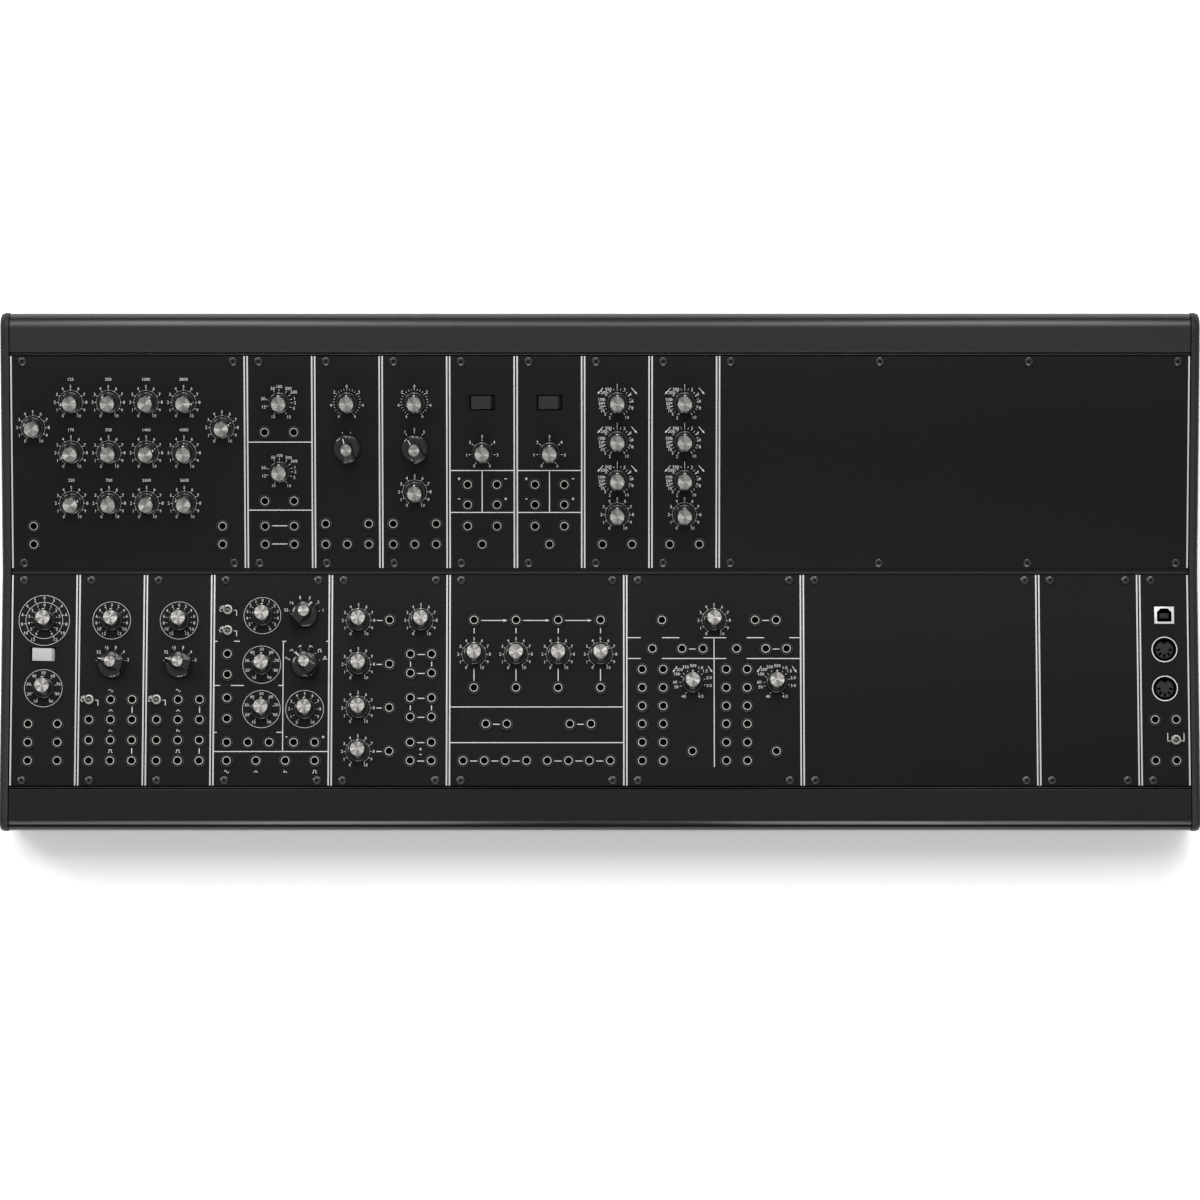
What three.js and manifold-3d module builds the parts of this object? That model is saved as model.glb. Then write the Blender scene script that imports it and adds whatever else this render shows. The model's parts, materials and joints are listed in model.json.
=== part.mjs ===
// Two-row modular synthesizer in a low V-shaped case, in millimetres.
// +X is to the player's right, +Y to the back and +Z up. The case lies on its foot strips.
// The origin is on the ground, under the middle of the case.
import * as THREE from "three";
import { mergeVertices } from "three/addons/utils/BufferGeometryUtils.js";
import Module from "manifold-3d";

const wasm = await Module();
wasm.setup();

// Rack format
const pitch = 5.08;
const rowPitchCount = 140;
const panelHeight = 128.5;
const panelThickness = 2;
const panelGap = 0.3;
const screwInset = 3;

// Case
const upperTilt = 7;
const lowerTilt = -9.5;
const rowSpacing = 4.2;
const valleyHeight = 57.9;
const footHeight = 4;
const seatGap = 0.3;
const cheekThickness = 5.2;
const cheekProud = 0.4;
const cheekRound = 2.8;
const cheekSeam = 0.4;
const capProud = 0.8;
const capWall = 2.4;
const topCapFlat = 15.8;
const topCapGap = 2.4;
const noseRadius = 9.2;
const frontCapFlat = 18.5;
const frontCapGap = 2.2;
const lipRadius = 7.7;
const bottomRadius = 5;
const arcSteps = 4;
const roundSteps = 2;

// Rails: a slotted bar under each panel edge, with a low rib that keeps the panels in line
const railReach = 8;
const railThickness = 9;
const railWeb = 4.4;
const railSlot = 4;
const railSlotDepth = 5;
const ribThickness = 0.9;
const ribBelow = 0.8;
const ribGap = 0.6;

// Tray: one bent sheet that laps over the flanges of the two caps
const trayWall = 1.5;
const seamDrop = 7;
const flangeLength = 9;
const flangeThickness = 1.8;

// Foot strips
const footStripWidth = 14;
const footStripMargin = 30;
const footStripInset = 22;

// Electronics behind a working panel
const boardThickness = 1.6;
const boardDepth = 12;
const boardSideInset = 2;
const boardEndInset = 10.5;
const headerSize = [24, 9, 9];

// Patch socket: a bush with a round nut on it, and a body that reaches the board
const socketNutRadius = 4;
const socketNutHeight = 2.2;
const socketBoreRadius = 1.8;
const socketBoreDepth = 9;
const socketBodyHalf = 4.5;
const socketClusterPitchCount = 3.7;
const socketClusterShare = 0.148;
const socketNutSides = 6;
const socketBoreSides = 4;

// Small knob on its shaft
const knobSides = 7;
const knobClearance = 0.6;
const skirtRadius = 6.5;
const skirtTop = 2.6;
const bodyRadius = 5.3;
const bodyTopRadius = 4.9;
const knobTop = 13.2;
const shaftRadius = 3;
const shaftDepth = 7;
const shaftPlay = 0.06;
const shaftSides = 6;
const potHalf = 5.2;

// Selector knob: a round skirt with a wing on it and a cap in the middle
const selectorSides = 8;
const selectorSkirtRadius = 8.6;
const selectorSkirtTop = 3.4;
const wingLength = 7.6;
const wingWidth = 7.4;
const wingNose = 3;
const wingTop = 13.4;
const selectorCapRadius = 3.35;
const selectorCapTop = 14.4;
const selectorPotHalf = 8;

// Rocker switch in its well
const rockerLength = 14.6;
const rockerWidth = 8.4;
const rockerRise = 1.6;
const rockerHollow = 0.7;
const rockerKeel = 3;
const rockerKeelShare = 0.88;
const rockerPivotDepth = 1;
const rockerLean = 10;
const rockerPlay = 0.3;
const wellWall = 1.1;
const wellDepth = 7.5;

// Toggle switch: a lever in a bush
const toggleSides = 6;
const bushRadius = 2.9;
const bushBore = 2.15;
const bushHeight = 3.4;
const leverPivotHeight = 0.6;
const leverBallRadius = 1.7;
const leverStemRadius = 0.85;
const leverNeckRadius = 1.2;
const leverNeckHeight = 8;
const leverTipRadius = 2;
const leverTipHeight = 10.2;
const toggleLean = 14;
const toggleBoreDepth = 3;

// Data socket and round sockets of the converter
const dataFrameSize = [12, 10.5];
const dataFrameProud = 1;
const dataMouthSize = [8.6, 7.8];
const dataMouthDepth = 9;
const dinRingRadius = 7.85;
const dinRingProud = 1;
const dinGrooveOuter = 6.7;
const dinGrooveInner = 5.4;
const dinGrooveDepth = 8;
const dinInsertBelow = 0.6;
const dinSides = 9;
const dinBodyHalf = 8.2;

// Power board in the tray, with its inlet and its switch in the back wall
const powerBoardThickness = 1.6;
const powerBoardDepth = 104;
const powerBoardEndGap = 55.5;
const powerBoardBackGap = 3;
const standoffHeight = 8;
const standoffRadius = 3;
const standoffInset = 8;
const standoffSides = 5;
const railHeaderCount = 8;
const railHeaderSize = [9, 26, 9];
const inletSize = [14, 15, 12];
const inletFromEnd = 12;
const inletBoreRadius = 3.2;
const inletPinRadius = 1;
const inletPinSides = 5;
const inletBoreDepth = 9;
const inletSides = 8;
const switchFromInlet = 34;
const switchRecess = 1.5;
const cutoutPlay = 0.3;

// Overrun of every cutting tool past the face it cuts
const overrun = 1;

// Corners nearer to each other than this are one corner
const weld = 1e-4;

// Derived sizes
const rowWidth = rowPitchCount * pitch;
const innerWidth = rowWidth + 2 * seatGap;
const profileHalf = innerWidth / 2 - cheekSeam;
const railFace = -(panelThickness + seatGap);
const railBottom = railFace - railThickness;

// One finish for each material that shows
const finish = (color, roughness, metalness) =>
  new THREE.MeshStandardMaterial({ color, roughness, metalness });
const panelFinish = finish(0x232323, 0.6, 0.3);
const capFinish = finish(0x2c2c2c, 0.45, 0.6);
const cheekFinish = finish(0x292929, 0.5, 0.4);
const trayFinish = finish(0x262626, 0.6, 0.5);
const boardFinish = finish(0x1d4a2e, 0.6, 0);
const rubberFinish = finish(0x1a1a1a, 0.9, 0);
const knobFinish = finish(0x191919, 0.5, 0);
const leverFinish = finish(0xc8c8c8, 0.25, 1);
const blackRockerFinish = finish(0x2a2a2a, 0.5, 0);
const whiteRockerFinish = finish(0xd8d8d6, 0.5, 0);

// Solids
function solidOf(geometry) {
  const bare = new THREE.BufferGeometry();
  bare.setAttribute("position", geometry.getAttribute("position"));
  bare.setIndex(geometry.index);
  const merged = mergeVertices(bare, weld);
  return new wasm.Manifold(
    new wasm.Mesh({
      numProp: 3,
      vertProperties: merged.attributes.position.array,
      triVerts: new Uint32Array(merged.index.array),
    }),
  );
}

function geometryOf(solid) {
  const { vertProperties, triVerts } = solid.getMesh();
  const geometry = new THREE.BufferGeometry();
  geometry.setAttribute("position", new THREE.BufferAttribute(vertProperties, 3));
  geometry.setIndex(new THREE.BufferAttribute(triVerts, 1));
  const faceted = geometry.toNonIndexed();
  faceted.computeVertexNormals();
  return faceted;
}

const joined = (solids) => solids.reduce((sum, next) => sum.add(next));
const cut = (solid, tools) => tools.reduce((rest, tool) => rest.subtract(tool), solid);

function block(low, high) {
  const size = high.map((value, axis) => value - low[axis]);
  const middle = high.map((value, axis) => (value + low[axis]) / 2);
  return solidOf(new THREE.BoxGeometry(...size).translate(...middle));
}

// A solid of revolution about Z from [radius, height] points that go up from the axis to the axis
function turned(points, sides, x = 0, y = 0) {
  const profile = points.map(([radius, height]) => new THREE.Vector2(radius, height));
  const geometry = new THREE.LatheGeometry(profile, sides);
  return geometry.rotateX(Math.PI / 2).translate(x, y, 0);
}

// A regular prism about Z between two heights
const prism = (radius, bottom, top, sides, x = 0, y = 0) =>
  solidOf(turned([[0, bottom], [radius, bottom], [radius, top], [0, top]], sides, x, y));

// The radius over the corners of a polygon that a round bar of this radius just fits through
const fitting = (radius, sides) => radius / Math.cos(Math.PI / sides);

// A section in the YZ plane, drawn out along X
const sectionToX = new THREE.Matrix4().makeBasis(
  new THREE.Vector3(0, 1, 0),
  new THREE.Vector3(0, 0, 1),
  new THREE.Vector3(1, 0, 0),
);

function drawnOut(shape, from, to) {
  const settings = { depth: to - from, bevelEnabled: false, curveSegments: arcSteps };
  const geometry = new THREE.ExtrudeGeometry(shape, settings);
  return geometry.applyMatrix4(sectionToX).translate(from, 0, 0);
}

function mesh(name, geometry, material) {
  const made = new THREE.Mesh(geometry, material);
  made.name = name;
  return made;
}

// Rows: each starts at the front edge of its panels, on their face
const radians = THREE.MathUtils.degToRad;
const along = (tilt) => [Math.cos(radians(tilt)), Math.sin(radians(tilt))];

function rowFrom(tilt, distance) {
  const [run, rise] = along(tilt);
  return { tilt, run, rise, offset: [distance * run, distance * rise] };
}

const upperRow = rowFrom(upperTilt, rowSpacing / 2);
const lowerRow = rowFrom(lowerTilt, -rowSpacing / 2 - panelHeight);

// The two ends of the case, measured from the valley between the rows
const fromValley = (row, distance, above) => [
  row.offset[0] + distance * row.run - above * row.rise,
  row.offset[1] + distance * row.rise + above * row.run,
];
const noseFromValley = fromValley(upperRow, panelHeight + topCapFlat, capProud - noseRadius);
const lipFromValley = fromValley(lowerRow, -frontCapFlat, capProud - lipRadius);
const backReach = noseFromValley[0] + noseRadius;
const frontReach = -(lipFromValley[0] - lipRadius);
const valleyY = (frontReach - backReach) / 2;

function at(row, distance, above) {
  const [y, z] = fromValley(row, distance, above);
  return [y + valleyY, z + valleyHeight];
}

const noseCentre = at(upperRow, panelHeight + topCapFlat, capProud - noseRadius);
const lipCentre = at(lowerRow, -frontCapFlat, capProud - lipRadius);
const halfDepth = (frontReach + backReach) / 2;

// The point over the valley where two faces, lifted alike from the rows, meet
function overValley(above) {
  const middle = radians((upperTilt + lowerTilt) / 2);
  const reach = above / Math.cos(radians((upperTilt - lowerTilt) / 2));
  return [valleyY - reach * Math.sin(middle), valleyHeight + reach * Math.cos(middle)];
}

// Side cheeks: the outline of the whole case, with a rounded outer edge
function caseOutline(margin) {
  const shape = new THREE.Shape();
  const lifted = capProud + margin;
  const back = halfDepth + margin;
  const low = footHeight;
  const quarter = Math.PI / 2;
  shape.moveTo(...overValley(lifted));
  shape.lineTo(...at(upperRow, panelHeight + topCapFlat, lifted));
  shape.absarc(...noseCentre, noseRadius + margin, quarter + radians(upperTilt), 0, true);
  shape.lineTo(back, low + bottomRadius);
  shape.absarc(back - bottomRadius, low + bottomRadius, bottomRadius, 0, -quarter, true);
  shape.lineTo(-back + bottomRadius, low);
  shape.absarc(bottomRadius - back, low + bottomRadius, bottomRadius, -quarter, -Math.PI, true);
  shape.lineTo(-back, lipCentre[1]);
  shape.absarc(...lipCentre, lipRadius + margin, Math.PI, quarter + radians(lowerTilt), true);
  shape.closePath();
  return shape;
}

function cheek(name, side) {
  const settings = {
    depth: cheekThickness,
    bevelThickness: cheekRound,
    bevelSize: cheekRound,
    bevelOffset: -cheekRound,
    bevelSegments: roundSteps,
    curveSegments: arcSteps,
  };
  const plate = new THREE.ExtrudeGeometry(caseOutline(cheekProud), settings);
  const outerEnd = side < 0 ? -cheekRound : cheekThickness + cheekRound;
  const outerFace = side * (innerWidth / 2 + cheekThickness);
  plate.applyMatrix4(sectionToX).translate(outerFace - outerEnd, 0, 0);
  const faces = [side * (innerWidth / 2), outerFace].sort((a, b) => a - b);
  const reach = 2 * halfDepth;
  const slab = block([faces[0], -reach, -reach], [faces[1], reach, reach]);
  return mesh(name, geometryOf(solidOf(plate).intersect(slab)), cheekFinish);
}

// Rails. A place is given by its distance past the panel edge, which is negative under the panel.
const pastFront = (past, above) => at(lowerRow, -past, above);
const pastBack = (past, above) => at(upperRow, panelHeight + past, above);
const pastLowerTop = (past, above) => at(lowerRow, panelHeight + past, above);
const pastUpperBottom = (past, above) => at(upperRow, -past, above);

// The slotted face of a rail, from the edge of the panel inwards
function railFacePoints(past) {
  const slotNear = -(screwInset - railSlot / 2);
  const slotFar = slotNear - railSlot;
  const slotFloor = railFace - railSlotDepth;
  return [
    past(slotNear, railFace),
    past(slotNear, slotFloor),
    past(slotFar, slotFloor),
    past(slotFar, railFace),
    past(-railReach, railFace),
    past(-railReach, railBottom),
  ];
}

// A cap: wall, rounded edge, flat, groove, rib and rail in one extrusion
function capProfile(name, past, end) {
  const { side, centre, radius, flat, gap, tilt } = end;
  const quarter = Math.PI / 2;
  const outer = side * halfDepth;
  const seam = centre[1] - seamDrop;
  const inwards = (distance) => outer - side * distance;
  const ribOuter = ribGap + ribThickness;
  const flangeOuter = inwards(trayWall + seatGap);
  const flangeInner = inwards(trayWall + seatGap + flangeThickness);
  const sideAngle = side > 0 ? 0 : Math.PI;
  const faceAngle = quarter + radians(tilt);
  const shape = new THREE.Shape();
  shape.moveTo(outer, seam);
  shape.absarc(...centre, radius, sideAngle, faceAngle, side < 0);
  shape.lineTo(...past(gap, capProud));
  shape.lineTo(...past(gap, railFace));
  shape.lineTo(...past(ribOuter, railFace));
  shape.lineTo(...past(ribOuter, -ribBelow));
  shape.lineTo(...past(ribGap, -ribBelow));
  shape.lineTo(...past(ribGap, railFace));
  railFacePoints(past).forEach((point) => shape.lineTo(...point));
  shape.lineTo(...past(railWeb, railBottom));
  shape.lineTo(...past(railWeb, capProud - capWall));
  shape.lineTo(...past(flat, capProud - capWall));
  shape.absarc(...centre, radius - capWall, faceAngle, sideAngle, side > 0);
  shape.lineTo(inwards(capWall), seam + flangeThickness);
  shape.lineTo(flangeInner, seam + flangeThickness);
  shape.lineTo(flangeInner, seam - flangeLength);
  shape.lineTo(flangeOuter, seam - flangeLength);
  shape.lineTo(flangeOuter, seam);
  shape.closePath();
  return mesh(name, drawnOut(shape, -profileHalf, profileHalf), capFinish);
}

const frontEnd = {
  side: -1,
  centre: lipCentre,
  radius: lipRadius,
  flat: frontCapFlat,
  gap: frontCapGap,
  tilt: lowerTilt,
};
const backEnd = {
  side: 1,
  centre: noseCentre,
  radius: noseRadius,
  flat: topCapFlat,
  gap: topCapGap,
  tilt: upperTilt,
};

// The bar in the valley carries the inner rails of both rows
function centreProfile() {
  const shape = new THREE.Shape();
  const lower = railFacePoints(pastLowerTop).reverse();
  shape.moveTo(...lower[0]);
  lower.slice(1).forEach((point) => shape.lineTo(...point));
  shape.lineTo(...pastLowerTop(ribGap, railFace));
  shape.lineTo(...pastLowerTop(ribGap, -ribBelow));
  shape.lineTo(...overValley(-ribBelow));
  shape.lineTo(...overValley(railFace));
  railFacePoints(pastUpperBottom).forEach((point) => shape.lineTo(...point));
  shape.lineTo(...overValley(railBottom));
  shape.closePath();
  return mesh("centre_profile", drawnOut(shape, -profileHalf, profileHalf), capFinish);
}

// Tray: floor and two upturned walls, open at the ends where the cheeks close it
const frontSeam = lipCentre[1] - seamDrop - seatGap;
const backSeam = noseCentre[1] - seamDrop - seatGap;
const trayFloor = footHeight + trayWall;
const powerBoardHalf = profileHalf - powerBoardEndGap;
const inletX = powerBoardHalf - inletFromEnd;
const switchX = inletX - switchFromInlet;
const boardTop = trayFloor + standoffHeight + powerBoardThickness;
const inletLow = boardTop - powerBoardThickness / 2;
const inletZ = inletLow + inletSize[2] / 2;

function trayShape() {
  const quarter = Math.PI / 2;
  const shape = new THREE.Shape();
  const corner = halfDepth - bottomRadius;
  const cornerZ = footHeight + bottomRadius;
  const innerRadius = bottomRadius - trayWall;
  const inner = halfDepth - trayWall;
  shape.moveTo(-halfDepth, frontSeam);
  shape.absarc(-corner, cornerZ, bottomRadius, Math.PI, Math.PI + quarter, false);
  shape.absarc(corner, cornerZ, bottomRadius, -quarter, 0, false);
  shape.lineTo(halfDepth, backSeam);
  shape.lineTo(inner, backSeam);
  shape.absarc(corner, cornerZ, innerRadius, 0, -quarter, true);
  shape.absarc(-corner, cornerZ, innerRadius, Math.PI + quarter, Math.PI, true);
  shape.lineTo(-inner, frontSeam);
  shape.closePath();
  return shape;
}

function tray() {
  const sheet = solidOf(drawnOut(trayShape(), -profileHalf, profileHalf));
  const wallFrom = halfDepth - trayWall - overrun;
  const wallTo = halfDepth + overrun;
  const inletHalf = [inletSize[0] / 2 + cutoutPlay, inletSize[2] / 2 + cutoutPlay];
  const switchHalf = [
    rockerLength / 2 + rockerPlay + wellWall + cutoutPlay,
    rockerWidth / 2 + rockerPlay + wellWall + cutoutPlay,
  ];
  const hole = (x, [halfX, halfZ]) =>
    block([x - halfX, wallFrom, inletZ - halfZ], [x + halfX, wallTo, inletZ + halfZ]);
  const open = cut(sheet, [hole(inletX, inletHalf), hole(switchX, switchHalf)]);
  return mesh("case_tray", geometryOf(open), trayFinish);
}

// Rubber strips under the tray
function footStrip(name, side) {
  const y = side * (halfDepth - footStripInset);
  const half = profileHalf - footStripMargin;
  const shape = new THREE.Shape();
  const endRadius = footStripWidth / 2;
  const quarter = Math.PI / 2;
  shape.absarc(half - endRadius, y, endRadius, -quarter, quarter, false);
  shape.absarc(endRadius - half, y, endRadius, quarter, quarter + Math.PI, false);
  const settings = { depth: footHeight, bevelEnabled: false, curveSegments: arcSteps };
  return mesh(name, new THREE.ExtrudeGeometry(shape, settings), rubberFinish);
}

// The well that a rocker tips in, open towards +Z
function rockerWell(x, y) {
  const halfLength = rockerLength / 2 + rockerPlay;
  const halfWidth = rockerWidth / 2 + rockerPlay;
  const outside = block(
    [x - halfLength - wellWall, y - halfWidth - wellWall, -wellDepth - wellWall],
    [x + halfLength + wellWall, y + halfWidth + wellWall, 0],
  );
  const inside = block(
    [x - halfLength, y - halfWidth, -wellDepth],
    [x + halfLength, y + halfWidth, overrun],
  );
  return { outside, inside };
}

// Rocker paddle about its pivot: a shallow V on top and a keel below
function rockerGeometry() {
  const half = rockerLength / 2;
  const shape = new THREE.Shape();
  shape.moveTo(-half, rockerRise);
  shape.lineTo(-half * rockerKeelShare, -rockerKeel);
  shape.lineTo(half * rockerKeelShare, -rockerKeel);
  shape.lineTo(half, rockerRise);
  shape.lineTo(0, rockerRise - rockerHollow);
  shape.closePath();
  const settings = { depth: rockerWidth, bevelEnabled: false };
  const geometry = new THREE.ExtrudeGeometry(shape, settings);
  return geometry.rotateX(Math.PI / 2).translate(0, rockerWidth / 2, 0);
}

function rocker(name, x, y, material) {
  const made = mesh(name, rockerGeometry(), material);
  made.position.set(x, y, -rockerPivotDepth);
  made.rotation.y = radians(rockerLean);
  return made;
}

// Power board: it stands on posts in the tray and reaches the back wall with inlet and switch
function powerBoard() {
  const back = halfDepth - trayWall - powerBoardBackGap;
  const front = back - powerBoardDepth;
  const low = boardTop - powerBoardThickness;
  const inBoard = boardTop - powerBoardThickness / 2;
  const plate = block([-powerBoardHalf, front, low], [powerBoardHalf, back, boardTop]);
  const posts = [];
  for (const x of [standoffInset - powerBoardHalf, 0, powerBoardHalf - standoffInset]) {
    for (const y of [front + standoffInset, back - standoffInset]) {
      posts.push(prism(standoffRadius, trayFloor + seatGap, inBoard, standoffSides, x, y));
    }
  }
  const headers = [];
  const [headerX, headerY, headerZ] = railHeaderSize;
  for (let place = 0; place < railHeaderCount; place += 1) {
    const x = ((place + 1) / (railHeaderCount + 1) - 1 / 2) * 2 * powerBoardHalf;
    const y = (front + back) / 2;
    headers.push(
      block(
        [x - headerX / 2, y - headerY / 2, inBoard],
        [x + headerX / 2, y + headerY / 2, boardTop + headerZ],
      ),
    );
  }
  const [inletX0, inletY0] = [inletX - inletSize[0] / 2, halfDepth - inletSize[1]];
  const inlet = block(
    [inletX0, inletY0, inletLow],
    [inletX0 + inletSize[0], halfDepth, inletLow + inletSize[2]],
  );
  const well = rockerWell(0, 0);
  const onBackWall = (solid) => solid.rotate([-90, 0, 0]).translate([switchX, halfDepth, inletZ]);
  const bore = prism(fitting(inletBoreRadius, inletSides), -inletBoreDepth, overrun, inletSides);
  const pin = prism(inletPinRadius, -inletBoreDepth - overrun, -overrun, inletPinSides);
  const socket = bore.subtract(pin).rotate([-90, 0, 0]).translate([inletX, halfDepth, inletZ]);
  const whole = joined([plate, ...posts, ...headers, inlet, onBackWall(well.outside)]);
  const made = cut(whole, [onBackWall(well.inside), socket]);
  return mesh("power_board", geometryOf(made), boardFinish);
}

function powerSwitch() {
  const wall = new THREE.Group();
  wall.position.set(switchX, halfDepth, inletZ);
  wall.rotation.x = -Math.PI / 2;
  const paddle = rocker("power_switch", 0, 0, blackRockerFinish);
  paddle.position.z -= switchRecess;
  wall.add(paddle);
  return wall;
}

// Small knob: skirt, tapered body and cap. Its shaft is added where it turns.
const knobPoints = (bottom) => [
  [skirtRadius, bottom],
  [skirtRadius, skirtTop],
  [bodyRadius, skirtTop],
  [bodyTopRadius, knobTop],
  [0, knobTop],
];

function turningKnob(name, x, y) {
  const shaft = [
    [0, -shaftDepth],
    [shaftRadius, -shaftDepth],
    [shaftRadius, knobClearance],
  ];
  const made = mesh(name, turned([...shaft, ...knobPoints(knobClearance)], knobSides), knobFinish);
  made.position.set(x, y, 0);
  return made;
}

const fixedKnob = (x, y) => {
  const sunk = -panelThickness / 2;
  const points = [[0, sunk], [skirtRadius, sunk], ...knobPoints(knobClearance).slice(1)];
  return solidOf(turned(points, knobSides, x, y));
};

// Selector knob: the wing's nose points at the chosen mark
function selectorGeometry() {
  const skirt = turned(
    [
      [0, -shaftDepth],
      [shaftRadius, -shaftDepth],
      [shaftRadius, knobClearance],
      [selectorSkirtRadius, knobClearance],
      [selectorSkirtRadius, selectorSkirtTop],
      [0, selectorSkirtTop],
    ],
    selectorSides,
  );
  const shape = new THREE.Shape();
  shape.moveTo(-wingWidth / 2, -wingLength);
  shape.lineTo(wingWidth / 2, -wingLength);
  shape.lineTo(wingWidth / 2, 0);
  shape.lineTo(wingNose / 2, wingLength);
  shape.lineTo(-wingNose / 2, wingLength);
  shape.lineTo(-wingWidth / 2, 0);
  shape.closePath();
  const base = selectorSkirtTop / 2;
  const settings = { depth: wingTop - base, bevelEnabled: false };
  const wing = new THREE.ExtrudeGeometry(shape, settings).translate(0, 0, base);
  const middle = wingTop - overrun;
  const cap = prism(selectorCapRadius, middle, selectorCapTop, shaftSides);
  return geometryOf(joined([solidOf(skirt), solidOf(wing), cap]));
}

function selector(name, x, y, pointer) {
  const made = mesh(name, selectorGeometry(), knobFinish);
  made.position.set(x, y, 0);
  made.rotation.z = -radians(pointer);
  return made;
}

// Toggle lever about its pivot: ball, stem, neck and rounded tip
function leverGeometry() {
  const lowShare = 0.7;
  return turned(
    [
      [0, -leverBallRadius],
      [leverBallRadius * lowShare, -leverBallRadius * lowShare],
      [leverBallRadius, 0],
      [leverStemRadius, leverBallRadius * lowShare],
      [leverNeckRadius, leverNeckHeight],
      [leverTipRadius, leverTipHeight],
      [leverTipRadius * lowShare, leverTipHeight + leverTipRadius * lowShare],
      [0, leverTipHeight + leverTipRadius],
    ],
    toggleSides,
  );
}

function toggle(name, x, y, lean) {
  const made = mesh(name, leverGeometry(), leverFinish);
  made.position.set(x, y, leverPivotHeight);
  made.rotation.y = radians(lean);
  return made;
}

// Round sockets: a proud ring with a groove for the plug's shell round the contact insert
function dinParts(x, y) {
  const inPanel = -panelThickness / 2;
  const ring = prism(dinRingRadius, inPanel, dinRingProud, dinSides, x, y);
  const bodyLow = -boardDepth - boardThickness / 2;
  const body = block(
    [x - dinBodyHalf, y - dinBodyHalf, bodyLow],
    [x + dinBodyHalf, y + dinBodyHalf, inPanel],
  );
  const mouth = prism(dinGrooveOuter, -dinInsertBelow, dinRingProud + overrun, dinSides, x, y);
  const groove = prism(dinGrooveOuter, -dinGrooveDepth, 0, dinSides, x, y);
  const insert = prism(dinGrooveInner, -dinGrooveDepth - overrun, overrun, dinSides, x, y);
  return { solids: [ring, body], tools: [mouth, groove.subtract(insert)] };
}

function dataParts(x, y) {
  const [frameX, frameY] = dataFrameSize;
  const [mouthX, mouthY] = dataMouthSize;
  const bodyLow = -boardDepth - boardThickness / 2;
  const body = block(
    [x - frameX / 2, y - frameY / 2, bodyLow],
    [x + frameX / 2, y + frameY / 2, dataFrameProud],
  );
  const mouth = block(
    [x - mouthX / 2, y - mouthY / 2, -dataMouthDepth],
    [x + mouthX / 2, y + mouthY / 2, dataFrameProud + overrun],
  );
  return { solids: [body], tools: [mouth] };
}

// Every pair of the given shares of the panel's width and height
const across = (widthShares, heightShares) =>
  heightShares.flatMap((heightShare) => widthShares.map((widthShare) => [widthShare, heightShare]));

// Modules of the upper row, from the left. Places are shares of the panel's width and height.
const amplifier = (number) => ({
  name: `amplifier_module_${number}`,
  pitchCount: 8,
  socketShares: [
    ...across([0.284, 0.722], [0.396, 0.301, 0.2]),
    [0.5, 0.114],
  ],
  turning: { [`amplifier_knob_${number}`]: [0.5, 0.546] },
  rockers: { [`amplifier_rocker_${number}`]: [0.5, 0.781] },
  rockerFinish: blackRockerFinish,
});

const envelope = (number) => ({
  name: `envelope_module_${number}`,
  pitchCount: 8,
  socketShares: across([0.285, 0.727], [0.114]),
  fixedKnobShares: across([0.506], [0.599, 0.416, 0.252]),
  turning: { [`envelope_knob_${number}`]: [0.506, 0.782] },
});

const upperModules = [
  {
    name: "filter_bank_module",
    pitchCount: 28,
    socketShares: across([0.096, 0.899], [0.2, 0.114]),
    fixedKnobShares: across([0.257, 0.417, 0.577, 0.737], [0.782, 0.544, 0.306]),
    turning: { filter_bank_low_knob: [0.096, 0.663], filter_bank_high_knob: [0.899, 0.663] },
  },
  {
    name: "dual_filter_module",
    pitchCount: 8,
    socketShares: across([0.274, 0.71], [0.643, 0.319, 0.2, 0.114]),
    fixedKnobShares: [[0.492, 0.456]],
    turning: { dual_filter_knob: [0.492, 0.781] },
  },
  {
    name: "high_pass_module",
    pitchCount: 8,
    socketShares: [...across([0.174, 0.818], [0.211, 0.114]), [0.496, 0.114]],
    turning: { high_pass_knob: [0.496, 0.781] },
    selectors: { high_pass_selector: { share: [0.49, 0.566], pointer: -15 } },
  },
  {
    name: "low_pass_module",
    pitchCount: 8,
    socketShares: [...across([0.177, 0.819], [0.211, 0.114]), [0.498, 0.114]],
    turning: { low_pass_knob: [0.498, 0.781], low_pass_feedback_knob: [0.499, 0.36] },
    selectors: { low_pass_selector: { share: [0.496, 0.565], pointer: -30 } },
  },
  amplifier(1),
  amplifier(2),
  envelope(1),
  envelope(2),
  { name: "wide_blank_panel", fillsRow: true },
];

// Modules of the lower row, from the left
const oscillator = (number) => ({
  name: `oscillator_module_${number}`,
  pitchCount: 8,
  socketShares: [
    ...across([0.498, 0.818], [0.405]),
    ...across([0.178, 0.498, 0.818], [0.31, 0.213, 0.116]),
  ],
  turning: { [`oscillator_knob_${number}`]: [0.498, 0.783] },
  selectors: { [`oscillator_selector_${number}`]: { share: [0.494, 0.574], pointer: -75 } },
  toggles: { [`oscillator_toggle_${number}`]: { share: [0.174, 0.405], lean: -toggleLean } },
});

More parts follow.
